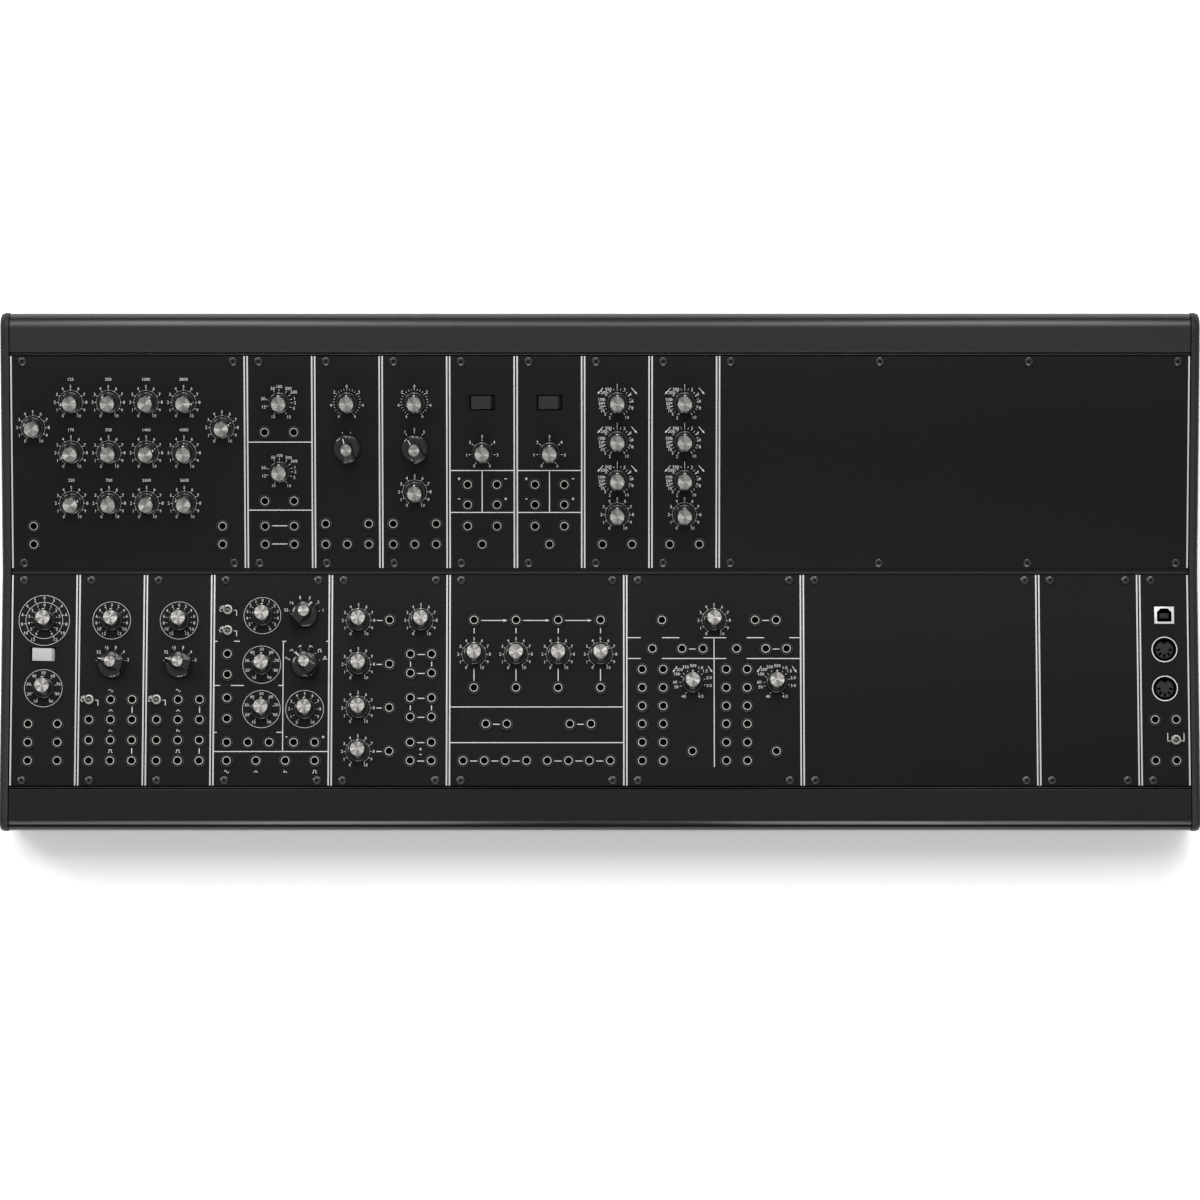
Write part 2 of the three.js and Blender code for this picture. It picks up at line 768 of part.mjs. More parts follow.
const lowerModules = [
  {
    name: "oscillator_driver_module",
    pitchCount: 8,
    socketShares: across([0.277, 0.716], [0.29, 0.203, 0.116]),
    fixedKnobShares: [[0.495, 0.461]],
    turning: { driver_knob: [0.496, 0.783] },
    rockers: { driver_rocker: [0.487, 0.621] },
    rockerFinish: whiteRockerFinish,
  },
  oscillator(1),
  oscillator(2),
  {
    name: "master_oscillator_module",
    pitchCount: 14,
    socketShares: [
      ...across([0.126], [0.622, 0.524, 0.413, 0.315]),
      ...across([0.126, 0.306, 0.486, 0.695, 0.873], [0.203]),
      ...across([0.126, 0.375, 0.624, 0.874], [0.116]),
    ],
    fixedKnobShares: [[0.417, 0.573], [0.417, 0.362], [0.785, 0.362]],
    turning: { master_oscillator_knob: [0.42, 0.806] },
    selectors: {
      master_range_selector: { share: [0.777, 0.814], pointer: 45 },
      master_wave_selector: { share: [0.782, 0.576], pointer: -45 },
    },
    toggles: {
      master_upper_toggle: { share: [0.125, 0.832], lean: -toggleLean },
      master_lower_toggle: { share: [0.126, 0.734], lean: -toggleLean },
    },
  },
  {
    name: "mixer_module",
    pitchCount: 14,
    socketShares: [
      ...across([0.501], [0.783, 0.574, 0.367, 0.161]),
      ...across([0.68, 0.86], [0.621, 0.531, 0.413, 0.323, 0.203, 0.116]),
    ],
    fixedKnobShares: across([0.235], [0.783, 0.574, 0.367, 0.161]),
    turning: { mixer_gain_knob: [0.767, 0.783] },
  },
  {
    name: "attenuator_module",
    pitchCount: 21,
    socketShares: [
      ...across([0.144, 0.382, 0.621, 0.861], [0.783, 0.462]),
      ...across([0.212, 0.331, 0.688, 0.807], [0.29]),
      ...across([0.084, 0.204, 0.323, 0.443, 0.56, 0.68, 0.798, 0.916], [0.116]),
    ],
    fixedKnobShares: across([0.382, 0.621, 0.861], [0.622]),
    turning: { attenuator_knob: [0.144, 0.622] },
  },
  {
    name: "trigger_module",
    pitchCount: 21,
    socketShares: [
      ...across([0.206, 0.735, 0.854], [0.783]),
      ...across([0.152, 0.32, 0.439, 0.629, 0.795, 0.913], [0.647]),
      ...across([0.094, 0.213, 0.57, 0.689], [0.549, 0.462, 0.375, 0.29, 0.203, 0.116]),
      ...across([0.378, 0.853], [0.161]),
    ],
    fixedKnobShares: across([0.38, 0.857], [0.488]),
    turning: { trigger_knob: [0.503, 0.783] },
  },
  { name: "long_blank_panel", fillsRow: true },
  { name: "short_blank_panel", pitchCount: 12 },
  {
    name: "converter_module",
    pitchCount: 6,
    socketShares: across([0.295, 0.713], [0.31, 0.116]),
    dataShares: [[0.506, 0.807]],
    dinShares: [[0.502, 0.644], [0.502, 0.459]],
    toggles: { converter_toggle: { share: [0.708, 0.214], lean: -toggleLean } },
  },
];

// Sockets that stand close together share one body behind the panel
function socketBodies(places) {
  const clusters = [];
  for (const [x, y] of places) {
    const box = { left: x, right: x, low: y, high: y };
    const near = clusters.filter(
      (other) =>
        Math.max(x - other.right, other.left - x) < socketClusterPitchCount * pitch &&
        Math.max(y - other.high, other.low - y) < socketClusterShare * panelHeight,
    );
    for (const other of near) {
      clusters.splice(clusters.indexOf(other), 1);
      box.left = Math.min(box.left, other.left);
      box.right = Math.max(box.right, other.right);
      box.low = Math.min(box.low, other.low);
      box.high = Math.max(box.high, other.high);
    }
    clusters.push(box);
  }
  return clusters.map(({ left, right, low, high }) =>
    block(
      [left - socketBodyHalf, low - socketBodyHalf, -boardDepth - boardThickness / 2],
      [right + socketBodyHalf, high + socketBodyHalf, -panelThickness / 2],
    ),
  );
}

const potBody = (x, y, half) =>
  block(
    [x - half, y - half, -boardDepth - boardThickness / 2],
    [x + half, y + half, -panelThickness / 2],
  );

// Circuit board behind a working panel, with the header for its ribbon lead
function boardSolids(width) {
  const [headerX, headerY, headerZ] = headerSize;
  const back = -boardDepth - boardThickness;
  const middle = [width / 2, panelHeight / 2];
  const board = block(
    [boardSideInset, boardEndInset, back],
    [width - boardSideInset, panelHeight - boardEndInset, -boardDepth],
  );
  const header = block(
    [middle[0] - headerX / 2, middle[1] - headerY / 2, back - headerZ],
    [middle[0] + headerX / 2, middle[1] + headerY / 2, back + boardThickness / 2],
  );
  return [board, header];
}

// One module: the fixed solid and the pieces that move on it, in the frame of its own panel
function buildModule(spec, width) {
  const place = ([widthShare, heightShare]) => [widthShare * width, heightShare * panelHeight];
  const group = new THREE.Group();
  const plate = block([0, 0, -panelThickness], [width, panelHeight, 0]);
  const sockets = (spec.socketShares ?? []).map(place);
  if (sockets.length === 0) {
    group.add(mesh(spec.name, geometryOf(plate), panelFinish));
    return group;
  }
  const solids = [plate, ...boardSolids(width), ...socketBodies(sockets)];
  const tools = [];
  const sunk = -panelThickness / 2;
  for (const [x, y] of sockets) {
    solids.push(prism(socketNutRadius, sunk, socketNutHeight, socketNutSides, x, y));
    const bore = fitting(socketBoreRadius, socketBoreSides);
    tools.push(prism(bore, -socketBoreDepth, socketNutHeight + overrun, socketBoreSides, x, y));
  }
  for (const share of spec.fixedKnobShares ?? []) solids.push(fixedKnob(...place(share)));
  const shaftBore = (x, y) => {
    const radius = fitting(shaftRadius + shaftPlay, shaftSides);
    return prism(radius, -shaftDepth - knobClearance, overrun, shaftSides, x, y);
  };
  for (const [name, share] of Object.entries(spec.turning ?? {})) {
    const [x, y] = place(share);
    solids.push(potBody(x, y, potHalf));
    tools.push(shaftBore(x, y));
    group.add(turningKnob(name, x, y));
  }
  for (const [name, { share, pointer }] of Object.entries(spec.selectors ?? {})) {
    const [x, y] = place(share);
    solids.push(potBody(x, y, selectorPotHalf));
    tools.push(shaftBore(x, y));
    group.add(selector(name, x, y, pointer));
  }
  for (const [name, share] of Object.entries(spec.rockers ?? {})) {
    const [x, y] = place(share);
    const well = rockerWell(x, y);
    solids.push(well.outside);
    tools.push(well.inside);
    group.add(rocker(name, x, y, spec.rockerFinish));
  }
  for (const [name, { share, lean }] of Object.entries(spec.toggles ?? {})) {
    const [x, y] = place(share);
    solids.push(prism(bushRadius, sunk, bushHeight, toggleSides, x, y));
    solids.push(potBody(x, y, socketBodyHalf));
    const bore = fitting(bushBore, toggleSides);
    tools.push(prism(bore, -toggleBoreDepth, bushHeight + overrun, toggleSides, x, y));
    group.add(toggle(name, x, y, lean));
  }
  const inserts = [
    ...(spec.dataShares ?? []).map((share) => dataParts(...place(share))),
    ...(spec.dinShares ?? []).map((share) => dinParts(...place(share))),
  ];
  for (const insert of inserts) {
    solids.push(...insert.solids);
    tools.push(...insert.tools);
  }
  group.add(mesh(spec.name, geometryOf(cut(joined(solids), tools)), panelFinish));
  return group;
}

// A row of modules side by side, in the tilted frame of the row. One blank panel fills what is left.
function buildRow(row, specs) {
  const group = new THREE.Group();
  const [y, z] = at(row, 0, 0);
  group.position.set(-rowWidth / 2, y, z);
  group.rotation.x = radians(row.tilt);
  const taken = specs.reduce((sum, spec) => sum + (spec.pitchCount ?? 0), 0);
  let x = 0;
  for (const spec of specs) {
    const width = (spec.fillsRow ? rowPitchCount - taken : spec.pitchCount) * pitch;
    const module = buildModule(spec, width - panelGap);
    module.position.x = x + panelGap / 2;
    group.add(module);
    x += width;
  }
  return group;
}

const group = new THREE.Group();
group.add(tray());
group.add(capProfile("front_profile", pastFront, frontEnd));
group.add(centreProfile());
group.add(capProfile("top_profile", pastBack, backEnd));
group.add(cheek("left_cheek", -1));
group.add(cheek("right_cheek", 1));
group.add(powerBoard());
group.add(powerSwitch());
group.add(footStrip("front_foot_strip", -1));
group.add(footStrip("rear_foot_strip", 1));
group.add(buildRow(upperRow, upperModules));
group.add(buildRow(lowerRow, lowerModules));

export default group;
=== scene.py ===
"""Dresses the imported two-row modular synthesizer, and sets it on a white floor, seen from above."""
import json
import math
from contextlib import contextmanager
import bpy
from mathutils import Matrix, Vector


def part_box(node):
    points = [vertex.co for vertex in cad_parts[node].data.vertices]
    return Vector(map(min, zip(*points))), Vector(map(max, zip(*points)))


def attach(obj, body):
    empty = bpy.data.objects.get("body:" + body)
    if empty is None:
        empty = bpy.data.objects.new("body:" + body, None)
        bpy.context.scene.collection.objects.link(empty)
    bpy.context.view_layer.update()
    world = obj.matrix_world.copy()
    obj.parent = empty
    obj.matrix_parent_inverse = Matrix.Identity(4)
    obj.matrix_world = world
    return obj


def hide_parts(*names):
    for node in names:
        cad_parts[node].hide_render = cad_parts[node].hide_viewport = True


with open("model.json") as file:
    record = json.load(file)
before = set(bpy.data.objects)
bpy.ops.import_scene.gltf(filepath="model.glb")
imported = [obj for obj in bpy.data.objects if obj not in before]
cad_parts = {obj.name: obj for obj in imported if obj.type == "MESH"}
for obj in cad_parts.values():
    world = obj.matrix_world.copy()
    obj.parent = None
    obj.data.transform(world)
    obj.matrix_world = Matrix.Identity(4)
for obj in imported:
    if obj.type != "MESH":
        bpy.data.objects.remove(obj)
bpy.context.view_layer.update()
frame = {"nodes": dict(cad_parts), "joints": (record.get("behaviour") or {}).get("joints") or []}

from types import SimpleNamespace

import bmesh
import bpy
from bpy.props import FloatProperty, FloatVectorProperty, PointerProperty
from mathutils import Matrix, Vector

bl_info = {
    "name": "Modular synthesizer dresser",
    "version": (1, 0, 0),
    "blender": (4, 5, 0),
    "location": "View3D > Sidebar > Synth",
    "description": "Builds the panels, dials, knobs and sockets of a two-row modular synthesizer",
    "category": "Object",
}

MILLIMETRE = 0.001
TO_METRES = Matrix.Scale(MILLIMETRE, 4)

# Heights and widths that every panel shares, in millimetres
PANEL_HEIGHT = 128.5
PANEL_THICKNESS = 2
UNDER_PANEL = -PANEL_THICKNESS - 0.02
BOARD_DEPTH = 12
BOARD_THICKNESS = 1.6
# Cutters for openings reach from under a panel to over it
HOLE_LOW, HOLE_HIGH = -4, 2
# Points that are nearer than this, in millimetres, are one
DOUBLED = 0.0005
FULL_TURN = 2 * math.pi
# Most scales run this many degrees to both sides of straight up
SCALE_END = 150
# Faces whose normal rises more than this look up
UPWARD = 0.9
# Properties of every group that aren't sizes or colours
OWN_OF_BLENDER = ("rna_type", "name")


def across(widths, heights):
    """Every pair of the given shares of a panel's width and height."""
    return [(width, height) for height in heights for width in widths]


def evenly(words, start=-SCALE_END, stop=SCALE_END):
    """Numerals of a dial at equal angles, clockwise from the top."""
    texts = words.split()
    step = (stop - start) / (len(texts) - 1)
    return [(start + place * step, text) for place, text in enumerate(texts)]


# Dials: numerals at their angles, the circle they stand on, tick lines from and to a radius, and rings
SCALES = dict(
    tenths=dict(numbers=evenly("0 1 2 3 4 5 6 7 8 9 10"), at=9.5, ticks=(7.3, 8.3), arc=7.3),
    volts=dict(numbers=evenly("6 4 2 0 2 4 6"), at=9.75, ticks=(7.3, 8.7), fine=25,
               fine_ticks=(7.5, 8.5)),
    cycles=dict(numbers=[(-157, "10", 9.4), (-106, "12", 9.8), (-77, "20", 9.9), (-24, "50", 9.3),
                         (0, "100", 9.6), (33, "200", 10.1), (55, "500", 10.9), (75, "1", 9.6),
                         (91, "2", 9.6), (112, "5", 9.7), (147, "10", 10.4)],
                ticks=(6.9, 8.2)),
    sixths=dict(numbers=evenly("0 1 2 3 4 5 6"), at=9.5, ticks=(6.9, 8.2)),
    times=dict(numbers=[(-154, "2", 10.4), (-135, "5", 10.2), (-120, "10", 10.3), (-107, "20", 10.2),
                        (-94, "50", 10), (-80, "100", 9.9), (-54, "200", 10), (-34, "500", 9.5),
                        (30, "2", 8.9), (58, "4", 9.3), (85, "6", 9.3), (111, "8", 9.8), (148, "10", 10.8)],
               ticks=(7.4, 8.7), fine=21, fine_ticks=(7.4, 8.7), long=(7, 11.2),
               slants=(8.5, 8.8, 12, 4.9)),
    delays=dict(numbers=[(-148, "40", 10.1), (-106, "50", 10.2), (-89, "60", 10.6), (-62, "100", 10.8),
                         (-45, "200", 11.1), (-24, "350", 10.3), (2, "500", 10.2), (28, "1.0", 10.2),
                         (47, "1.5", 10.3), (74, "2.0", 10.3), (101, "3.0", 10.1), (150, "4.0", 9.8)],
                ticks=(7, 8), slants=(9.3, 10, 12, 6.1)),
    octaves=dict(numbers=evenly("6 5 4 3 2 1 0 1 2 3 4 5 6"), at=9.4, ticks=(7.2, 8), ring=11.1),
    semitones=dict(numbers=evenly("12 10 8 6 4 2 0 2 4 6 8 10 12"), at=9.4, ticks=(7.2, 8), ring=11.4),
    outer_semitones=dict(numbers=evenly("12 10 8 6 4 2 0 2 4 6 8 10 12"), at=13.6,
                         ticks=(11.3, 12.4), ring=15.25),
    widths=dict(numbers=evenly("10 20 30 40 50 60 70 80 90"), at=9.3, ticks=(7, 7.8), ring=11.4),
    levels=dict(numbers=evenly("0 1 2 3 4 5 6 7 8 9 10"), at=9.4, ticks=(7.2, 8), ring=11.4),
    two_ranges=dict(numbers=evenly("- -", -15, 15), ticks=(9.1, 10.2)),
    three_ranges=dict(numbers=evenly("1 2 3", -30, 30), at=11.4, ticks=(9.1, 10.2)),
    six_ranges=dict(numbers=evenly("- 32 16 8 4 2", -75, 75), at=10.7, ticks=(8.9, 9.5)),
    master_ranges=dict(numbers=[(-78, "32", 11.3), (-49, "16", 10.5), (-15, "8", 10.4), (18, "4", 10.4),
                                (49, "2", 11.1), (79, "1", 11.5)], ticks=(8.9, 9.5)),
    waves=dict(symbols=[(-72, "sine", 11), (-43, "triangle", 11.5), (-14, "ramp", 11.3),
                        (19, "saw", 11.5), (48, "square", 12.2), (73, "pulse", 12.8)],
               numbers=evenly("- - - - - -", -75, 75), ticks=(8.9, 9.5)),
)

# Wave symbols as lines through these points, in millimetres
WAVES = dict(
    sine=[(-1.6, 0.1), (-1.25, 0.75), (-0.8, 1), (-0.4, 0.6), (0, 0), (0.4, -0.6),
          (0.8, -1), (1.25, -0.75), (1.6, -0.1)],
    triangle=[(-1.3, -0.7), (0, 0.7), (1.3, -0.7)],
    ramp=[(-1.3, -0.7), (0.5, 0.7), (0.5, -0.9)],
    saw=[(-0.9, -0.9), (-0.9, 0.7), (1.3, -0.7)],
    square=[(-1.6, -1), (-0.9, -1), (-0.9, 1), (0.9, 1), (0.9, -1), (1.6, -1)],
    pulse=[(-1.6, -1), (-0.45, -1), (-0.45, 1), (0.55, 1), (0.55, -1), (1.6, -1)],
)

# The three rows of the filter bank: their height, where their knobs point, and the numbers over them
BANK_SHARES = (0.257, 0.417, 0.577, 0.737)
BANK = ((0.782, (-95, -33, 33, 90), "125 350 1000 2800"), (0.544, (-110, -33, 62, 0), "175 500 1400 4000"),
        (0.306, (60, 0, 30, -60), "250 700 2000 5600"))


def oscillator(number):
    """The controls of one of the two small oscillators."""
    return dict(
        row="lower",
        sockets=across((0.498, 0.818), (0.405,)) + across((0.178, 0.498, 0.818), (0.31, 0.213, 0.116)),
        dials=[(0.498, 0.783, "semitones", f"oscillator_knob_{number}")],
        selectors=[(0.494, 0.574, "six_ranges", f"oscillator_selector_{number}")],
        toggles=[(0.174, 0.405, f"oscillator_toggle_{number}")],
        symbols=[(0.498, 0.45, "sine"), (0.498, 0.3555, "triangle"), (0.498, 0.2605, "saw"),
                 (0.498, 0.163, "square")],
        upright=[(0.818, 0.3725, 0.3445), (0.818, 0.1765, 0.1505)],
        hooks=[(0.174, 0.405, "two")],
    )


def amplifier(number):
    """The controls of one of the two amplifiers."""
    return dict(
        row="upper",
        sockets=across((0.284, 0.722), (0.396, 0.301, 0.2)) + [(0.5, 0.114)],
        dials=[(0.5, 0.546, "sixths", f"amplifier_knob_{number}")],
        rockers=[(0.5, 0.781, f"amplifier_rocker_{number}")],
        rules=[(0.461, 0, 1), (0.263, 0, 1)],
        walls=[(0.5, 0.461, 0.263)],
        signs=[(0.155, 0.422, "+"), (0.155, 0.327, "-"), (0.852, 0.422, "-"), (0.852, 0.327, "+")],
    )


def envelope(number):
    """The controls of one of the two envelope generators."""
    return dict(
        row="upper",
        sockets=across((0.285, 0.727), (0.114,)),
        dials=[(0.506, 0.782, "times", f"envelope_knob_{number}"), (0.506, 0.599, "times", 0),
               (0.506, 0.416, "times", 0), (0.506, 0.252, "tenths", 0)],
    )


# Every dial: share of the width, share of the height, its scale, and the knob on it. The knob is the
# name of a CAD node that turns, the angle at which a knob of the panel's own solid points, or None for
# a second scale round one knob. Other places are shares of the width and the height in the same way.
MODULES = dict(
    filter_bank_module=dict(
        row="upper", screws=4,
        sockets=across((0.096, 0.899), (0.2, 0.114)),
        dials=[(0.096, 0.663, "tenths", "filter_bank_low_knob"),
               (0.899, 0.663, "tenths", "filter_bank_high_knob"),
               *((share, height, "tenths", pointer) for height, pointers, _ in BANK
                 for share, pointer in zip(BANK_SHARES, pointers))],
        headings=[(share, height + 0.108, text) for height, _, texts in BANK
                  for share, text in zip(BANK_SHARES, texts.split())],
    ),
    dual_filter_module=dict(
        row="upper",
        sockets=across((0.274, 0.71), (0.643, 0.319, 0.2, 0.114)),
        dials=[(0.492, 0.781, "cycles", "dual_filter_knob"), (0.492, 0.456, "cycles", 0)],
        rules=[(0.595, 0, 1), (0.274, 0, 1)],
        links=[(0.274, 0.71, 0.2), (0.274, 0.71, 0.114)],
    ),
    high_pass_module=dict(
        row="upper",
        sockets=across((0.174, 0.818), (0.211, 0.114)) + [(0.496, 0.114)],
        dials=[(0.496, 0.781, "volts", "high_pass_knob")],
        selectors=[(0.49, 0.566, "two_ranges", "high_pass_selector")],
    ),
    low_pass_module=dict(
        row="upper",
        sockets=across((0.177, 0.819), (0.211, 0.114)) + [(0.498, 0.114)],
        dials=[(0.498, 0.781, "volts", "low_pass_knob"),
               (0.499, 0.36, "tenths", "low_pass_feedback_knob")],
        selectors=[(0.496, 0.565, "three_ranges", "low_pass_selector")],
    ),
    amplifier_module_1=amplifier(1),
    amplifier_module_2=amplifier(2),
    envelope_module_1=envelope(1),
    envelope_module_2=envelope(2),
    wide_blank_panel=dict(row="upper", screws=8),
    oscillator_driver_module=dict(
        row="lower",
        sockets=across((0.277, 0.716), (0.29, 0.203, 0.116)),
        dials=[(0.496, 0.783, "outer_semitones", "driver_knob"), (0.496, 0.783, "octaves", None),
               (0.495, 0.461, "widths", 0)],
        rockers=[(0.487, 0.621, "driver_rocker")],
    ),
    oscillator_module_1=oscillator(1),
    oscillator_module_2=oscillator(2),
    master_oscillator_module=dict(
        row="lower", screws=4,
        sockets=across((0.126,), (0.622, 0.524, 0.413, 0.315))
        + across((0.126, 0.306, 0.486, 0.695, 0.873), (0.203,))
        + across((0.126, 0.375, 0.624, 0.874), (0.116,)),
        dials=[(0.42, 0.806, "octaves", "master_oscillator_knob"), (0.417, 0.573, "widths", 0),
               (0.417, 0.362, "widths", 0), (0.785, 0.362, "levels", 0)],
        selectors=[(0.777, 0.814, "master_ranges", "master_range_selector"),
                   (0.782, 0.576, "waves", "master_wave_selector")],
        toggles=[(0.125, 0.832, "master_upper_toggle"), (0.126, 0.734, "master_lower_toggle")],
        rules=[(0.684, 0, 0.04), (0.684, 0.18, 0.229), (0.684, 0.59, 0.626), (0.684, 0.966, 1),
               (0.474, 0, 0.065), (0.474, 0.157, 0.266), (0.474, 0.56, 0.6), (0.252, 0, 0.04),
               (0.252, 0.547, 0.6), (0.161, 0, 1)],
        walls=[(0.6, 0.684, 0.161)],
        signs=[(0.632, 0.23, "-"), (0.945, 0.23, "+")],
        symbols=[(0.126, 0.066, "sine"), (0.375, 0.066, "triangle"), (0.624, 0.066, "saw"),
                 (0.874, 0.066, "square")],
        hooks=[(0.125, 0.832, "two"), (0.126, 0.734, "two")],
    ),
    mixer_module=dict(
        row="lower", screws=4,
        sockets=across((0.501,), (0.783, 0.574, 0.367, 0.161))
        + across((0.68, 0.86), (0.621, 0.531, 0.413, 0.323, 0.203, 0.116)),
        dials=[(0.767, 0.783, "tenths", "mixer_gain_knob")]
        + [(0.235, height, "tenths", 0) for height in (0.783, 0.574, 0.367, 0.161)],
        links=[(0.68, 0.86, height) for height in (0.621, 0.531, 0.413, 0.323, 0.203, 0.116)],
        bonds=[(0.392, 0.438, height) for height in (0.783, 0.574, 0.367, 0.161)],
        upright=[(share, top, top - 0.023) for top in (0.5875, 0.3795) for share in (0.68, 0.86)],
        signs=[(0.768, 0.172, "+"), (0.768, 0.147, "-")],
    ),
    attenuator_module=dict(
        row="lower", screws=4,
        sockets=across((0.144, 0.382, 0.621, 0.861), (0.783, 0.462))
        + across((0.212, 0.331, 0.688, 0.807), (0.29,))
        + across((0.084, 0.204, 0.323, 0.443, 0.56, 0.68, 0.798, 0.916), (0.116,)),
        dials=[(0.144, 0.622, "tenths", "attenuator_knob"), (0.382, 0.622, "tenths", -30),
               (0.621, 0.622, "tenths", 0), (0.861, 0.622, "tenths", 58)],
        rules=[(0.372, 0, 1), (0.203, 0, 1)],
        arrows=[(0.144, 0.382, 0.783), (0.382, 0.621, 0.783), (0.621, 0.861, 0.783)],
        links=[(0.212, 0.331, 0.29), (0.688, 0.807, 0.29)]
        + [(left, right, 0.116) for left, right in ((0.084, 0.204), (0.204, 0.323), (0.323, 0.443),
                                                    (0.56, 0.68), (0.68, 0.798), (0.798, 0.916))],
        upright=[(share, 0.747, 0.722) for share in (0.144, 0.382, 0.621, 0.861)]
        + [(share, 0.552, 0.496) for share in (0.144, 0.382, 0.621, 0.861)],
    ),
    trigger_module=dict(
        row="lower", screws=4,
        sockets=across((0.206, 0.735, 0.854), (0.783,))
        + across((0.152, 0.32, 0.439, 0.629, 0.795, 0.913), (0.647,))
        + across((0.094, 0.213, 0.57, 0.689), (0.549, 0.462, 0.375, 0.29, 0.203, 0.116))
        + across((0.378, 0.853), (0.161,)),
        dials=[(0.503, 0.783, "tenths", "trigger_knob"), (0.38, 0.488, "delays", 0),
               (0.857, 0.488, "delays", 0)],
        rules=[(0.701, 0, 0.086), (0.701, 0.207, 0.305), (0.701, 0.443, 0.571), (0.701, 0.687, 0.786),
               (0.701, 0.928, 1), (0.602, 0, 0.086), (0.602, 0.207, 0.571), (0.602, 0.687, 1)],
        walls=[(0.502, 0.701, 0.088)],
        links=[(0.735, 0.854, 0.783), (0.32, 0.439, 0.647), (0.795, 0.913, 0.647)],
    ),
    long_blank_panel=dict(row="lower", screws=4),
    short_blank_panel=dict(row="lower", screws=4),
    converter_module=dict(
        row="lower",
        sockets=across((0.295, 0.713), (0.31, 0.116)),
        toggles=[(0.708, 0.214, "converter_toggle")],
        data=[(0.506, 0.807)],
        rounds=[(0.502, 0.644), (0.502, 0.459)],
        hooks=[(0.708, 0.214, "three")],
    ),
)

# Where the turning knobs point at rest, in degrees from the top, when it isn't straight up
POINTERS = dict(
    filter_bank_low_knob=-60, filter_bank_high_knob=60,
    high_pass_selector=-15, low_pass_selector=-30,
    oscillator_selector_1=-75, oscillator_selector_2=-75,
    master_range_selector=45, master_wave_selector=-45,
)

# A panel and a knob of each row, which give its place and its tilt
ROW_SAMPLES = {"upper": ("wide_blank_panel", "envelope_knob_1"),
               "lower": ("long_blank_panel", "trigger_knob")}
JOINTS = {joint["child"]: joint for joint in frame["joints"]}


def row_place(row):
    """The row's tilt, and the height and depth of the front edge of its panels' faces, in metres."""
    panel, knob = ROW_SAMPLES[row]
    low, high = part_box(panel)
    _, forward, upward = JOINTS[knob]["axis"]
    tilt = math.atan2(-forward, upward)
    thickness = PANEL_THICKNESS * MILLIMETRE
    if tilt > 0:
        return tilt, low.y, low.z + thickness * math.cos(tilt)
    return tilt, low.y - thickness * math.sin(tilt), high.z


def panel_frame(node, row):
    """The matrix from a panel's own millimetres to the frame's metres, and the panel's width."""
    tilt, depth, height = row_place(row)
    low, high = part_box(node)
    place = Matrix.Translation((low.x, depth, height))
    return place @ Matrix.Rotation(tilt, 4, "X") @ TO_METRES, (high.x - low.x) / MILLIMETRE


# Properties
def linear(code):
    """An sRGB hex colour as the linear numbers that the shaders take."""
    channels = [int(code[place:place + 2], 16) / 255 for place in (1, 3, 5)]
    return [value / 12.92 if value <= 0.04045 else ((value + 0.055) / 1.055) ** 2.4
            for value in channels]


def length(name, description, millimetres):
    return FloatProperty(name=name, description=description, default=millimetres * MILLIMETRE,
                         min=0, precision=5, unit="LENGTH")


def colour(name, description, code):
    return FloatVectorProperty(name=name, description=description, default=linear(code), size=3,
                               min=0, max=1, subtype="COLOR")


class SynthPanelSizes(bpy.types.PropertyGroup):
    edge: length("Edge", "Width of the bevel round a panel's face", 0.25)
    strip_from: length("Strip from", "Distance of the bare strip from the panel's side", 0.3)
    strip_width: length("Strip width", "Width of the bare strip along each side", 0.88)
    line_width: length("Line width", "Width of the printed lines", 0.52)
    ring_width: length("Ring width", "Width of the printed rings round the dials", 0.24)
    tick_width: length("Tick width", "Width of the printed ticks", 0.27)
    numeral_height: length("Numeral height", "Height of the numerals on the dials", 1.82)
    ink_thickness: length("Ink", "Thickness of the printing ink", 0.03)
    coat: colour("Coat", "Colour of the panels' coat", "#121212")
    ink: colour("Ink", "Colour of the printing ink", "#cfcfcc")
    bare: colour("Bare metal", "Colour of the bare strips", "#cccccc")


class SynthKnobSizes(bpy.types.PropertyGroup):
    skirt_radius: length("Skirt radius", "Radius of a small knob's skirt", 6.5)
    skirt_top: length("Skirt top", "Height of a small knob's skirt over the panel", 2.6)
    clearance: length("Clearance", "Gap between a knob and the panel", 0.6)
    body_radius: length("Body radius", "Radius of a small knob's body at its foot", 5.3)
    body_top_radius: length("Body top radius", "Radius of a small knob's body at its top", 4.95)
    cap_radius: length("Cap radius", "Radius of the metal cap of a small knob", 4.3)
    top: length("Top", "Height of a small knob over the panel", 13.2)
    rib: length("Rib", "Depth of the flutes in a small knob's body", 0.16)
    selector_radius: length("Selector radius", "Radius of a selector's skirt", 8.6)
    wing_top: length("Wing top", "Height of a selector's wing over the panel", 13.4)
    selector_cap_radius: length("Selector cap", "Radius of the metal cap of a selector", 3.35)
    selector_top: length("Selector top", "Height of a selector's cap over the panel", 14.4)
    plastic: colour("Plastic", "Colour of the knobs", "#161616")
    metal: colour("Cap", "Colour of the spun caps", "#e6e3dd")
    line: colour("Pointer", "Colour of the pointer lines", "#dededc")


class SynthSocketSizes(bpy.types.PropertyGroup):
    nut_radius: length("Nut radius", "Radius of a patch socket's nut", 3.85)
    nut_height: length("Nut height", "Height of a patch socket's nut", 1.5)
    ring_radius: length("Ring radius", "Outer radius of a patch socket's bright bush", 2.64)
    bore_radius: length("Bore radius", "Radius of a patch socket's bore", 1.85)
    top: length("Top", "Height of a patch socket's bush over the panel", 2.2)
    plate: colour("Plating", "Colour of the nickel plating", "#c2c0ba")
    nut: colour("Nut", "Colour of the blackened nuts", "#606060")


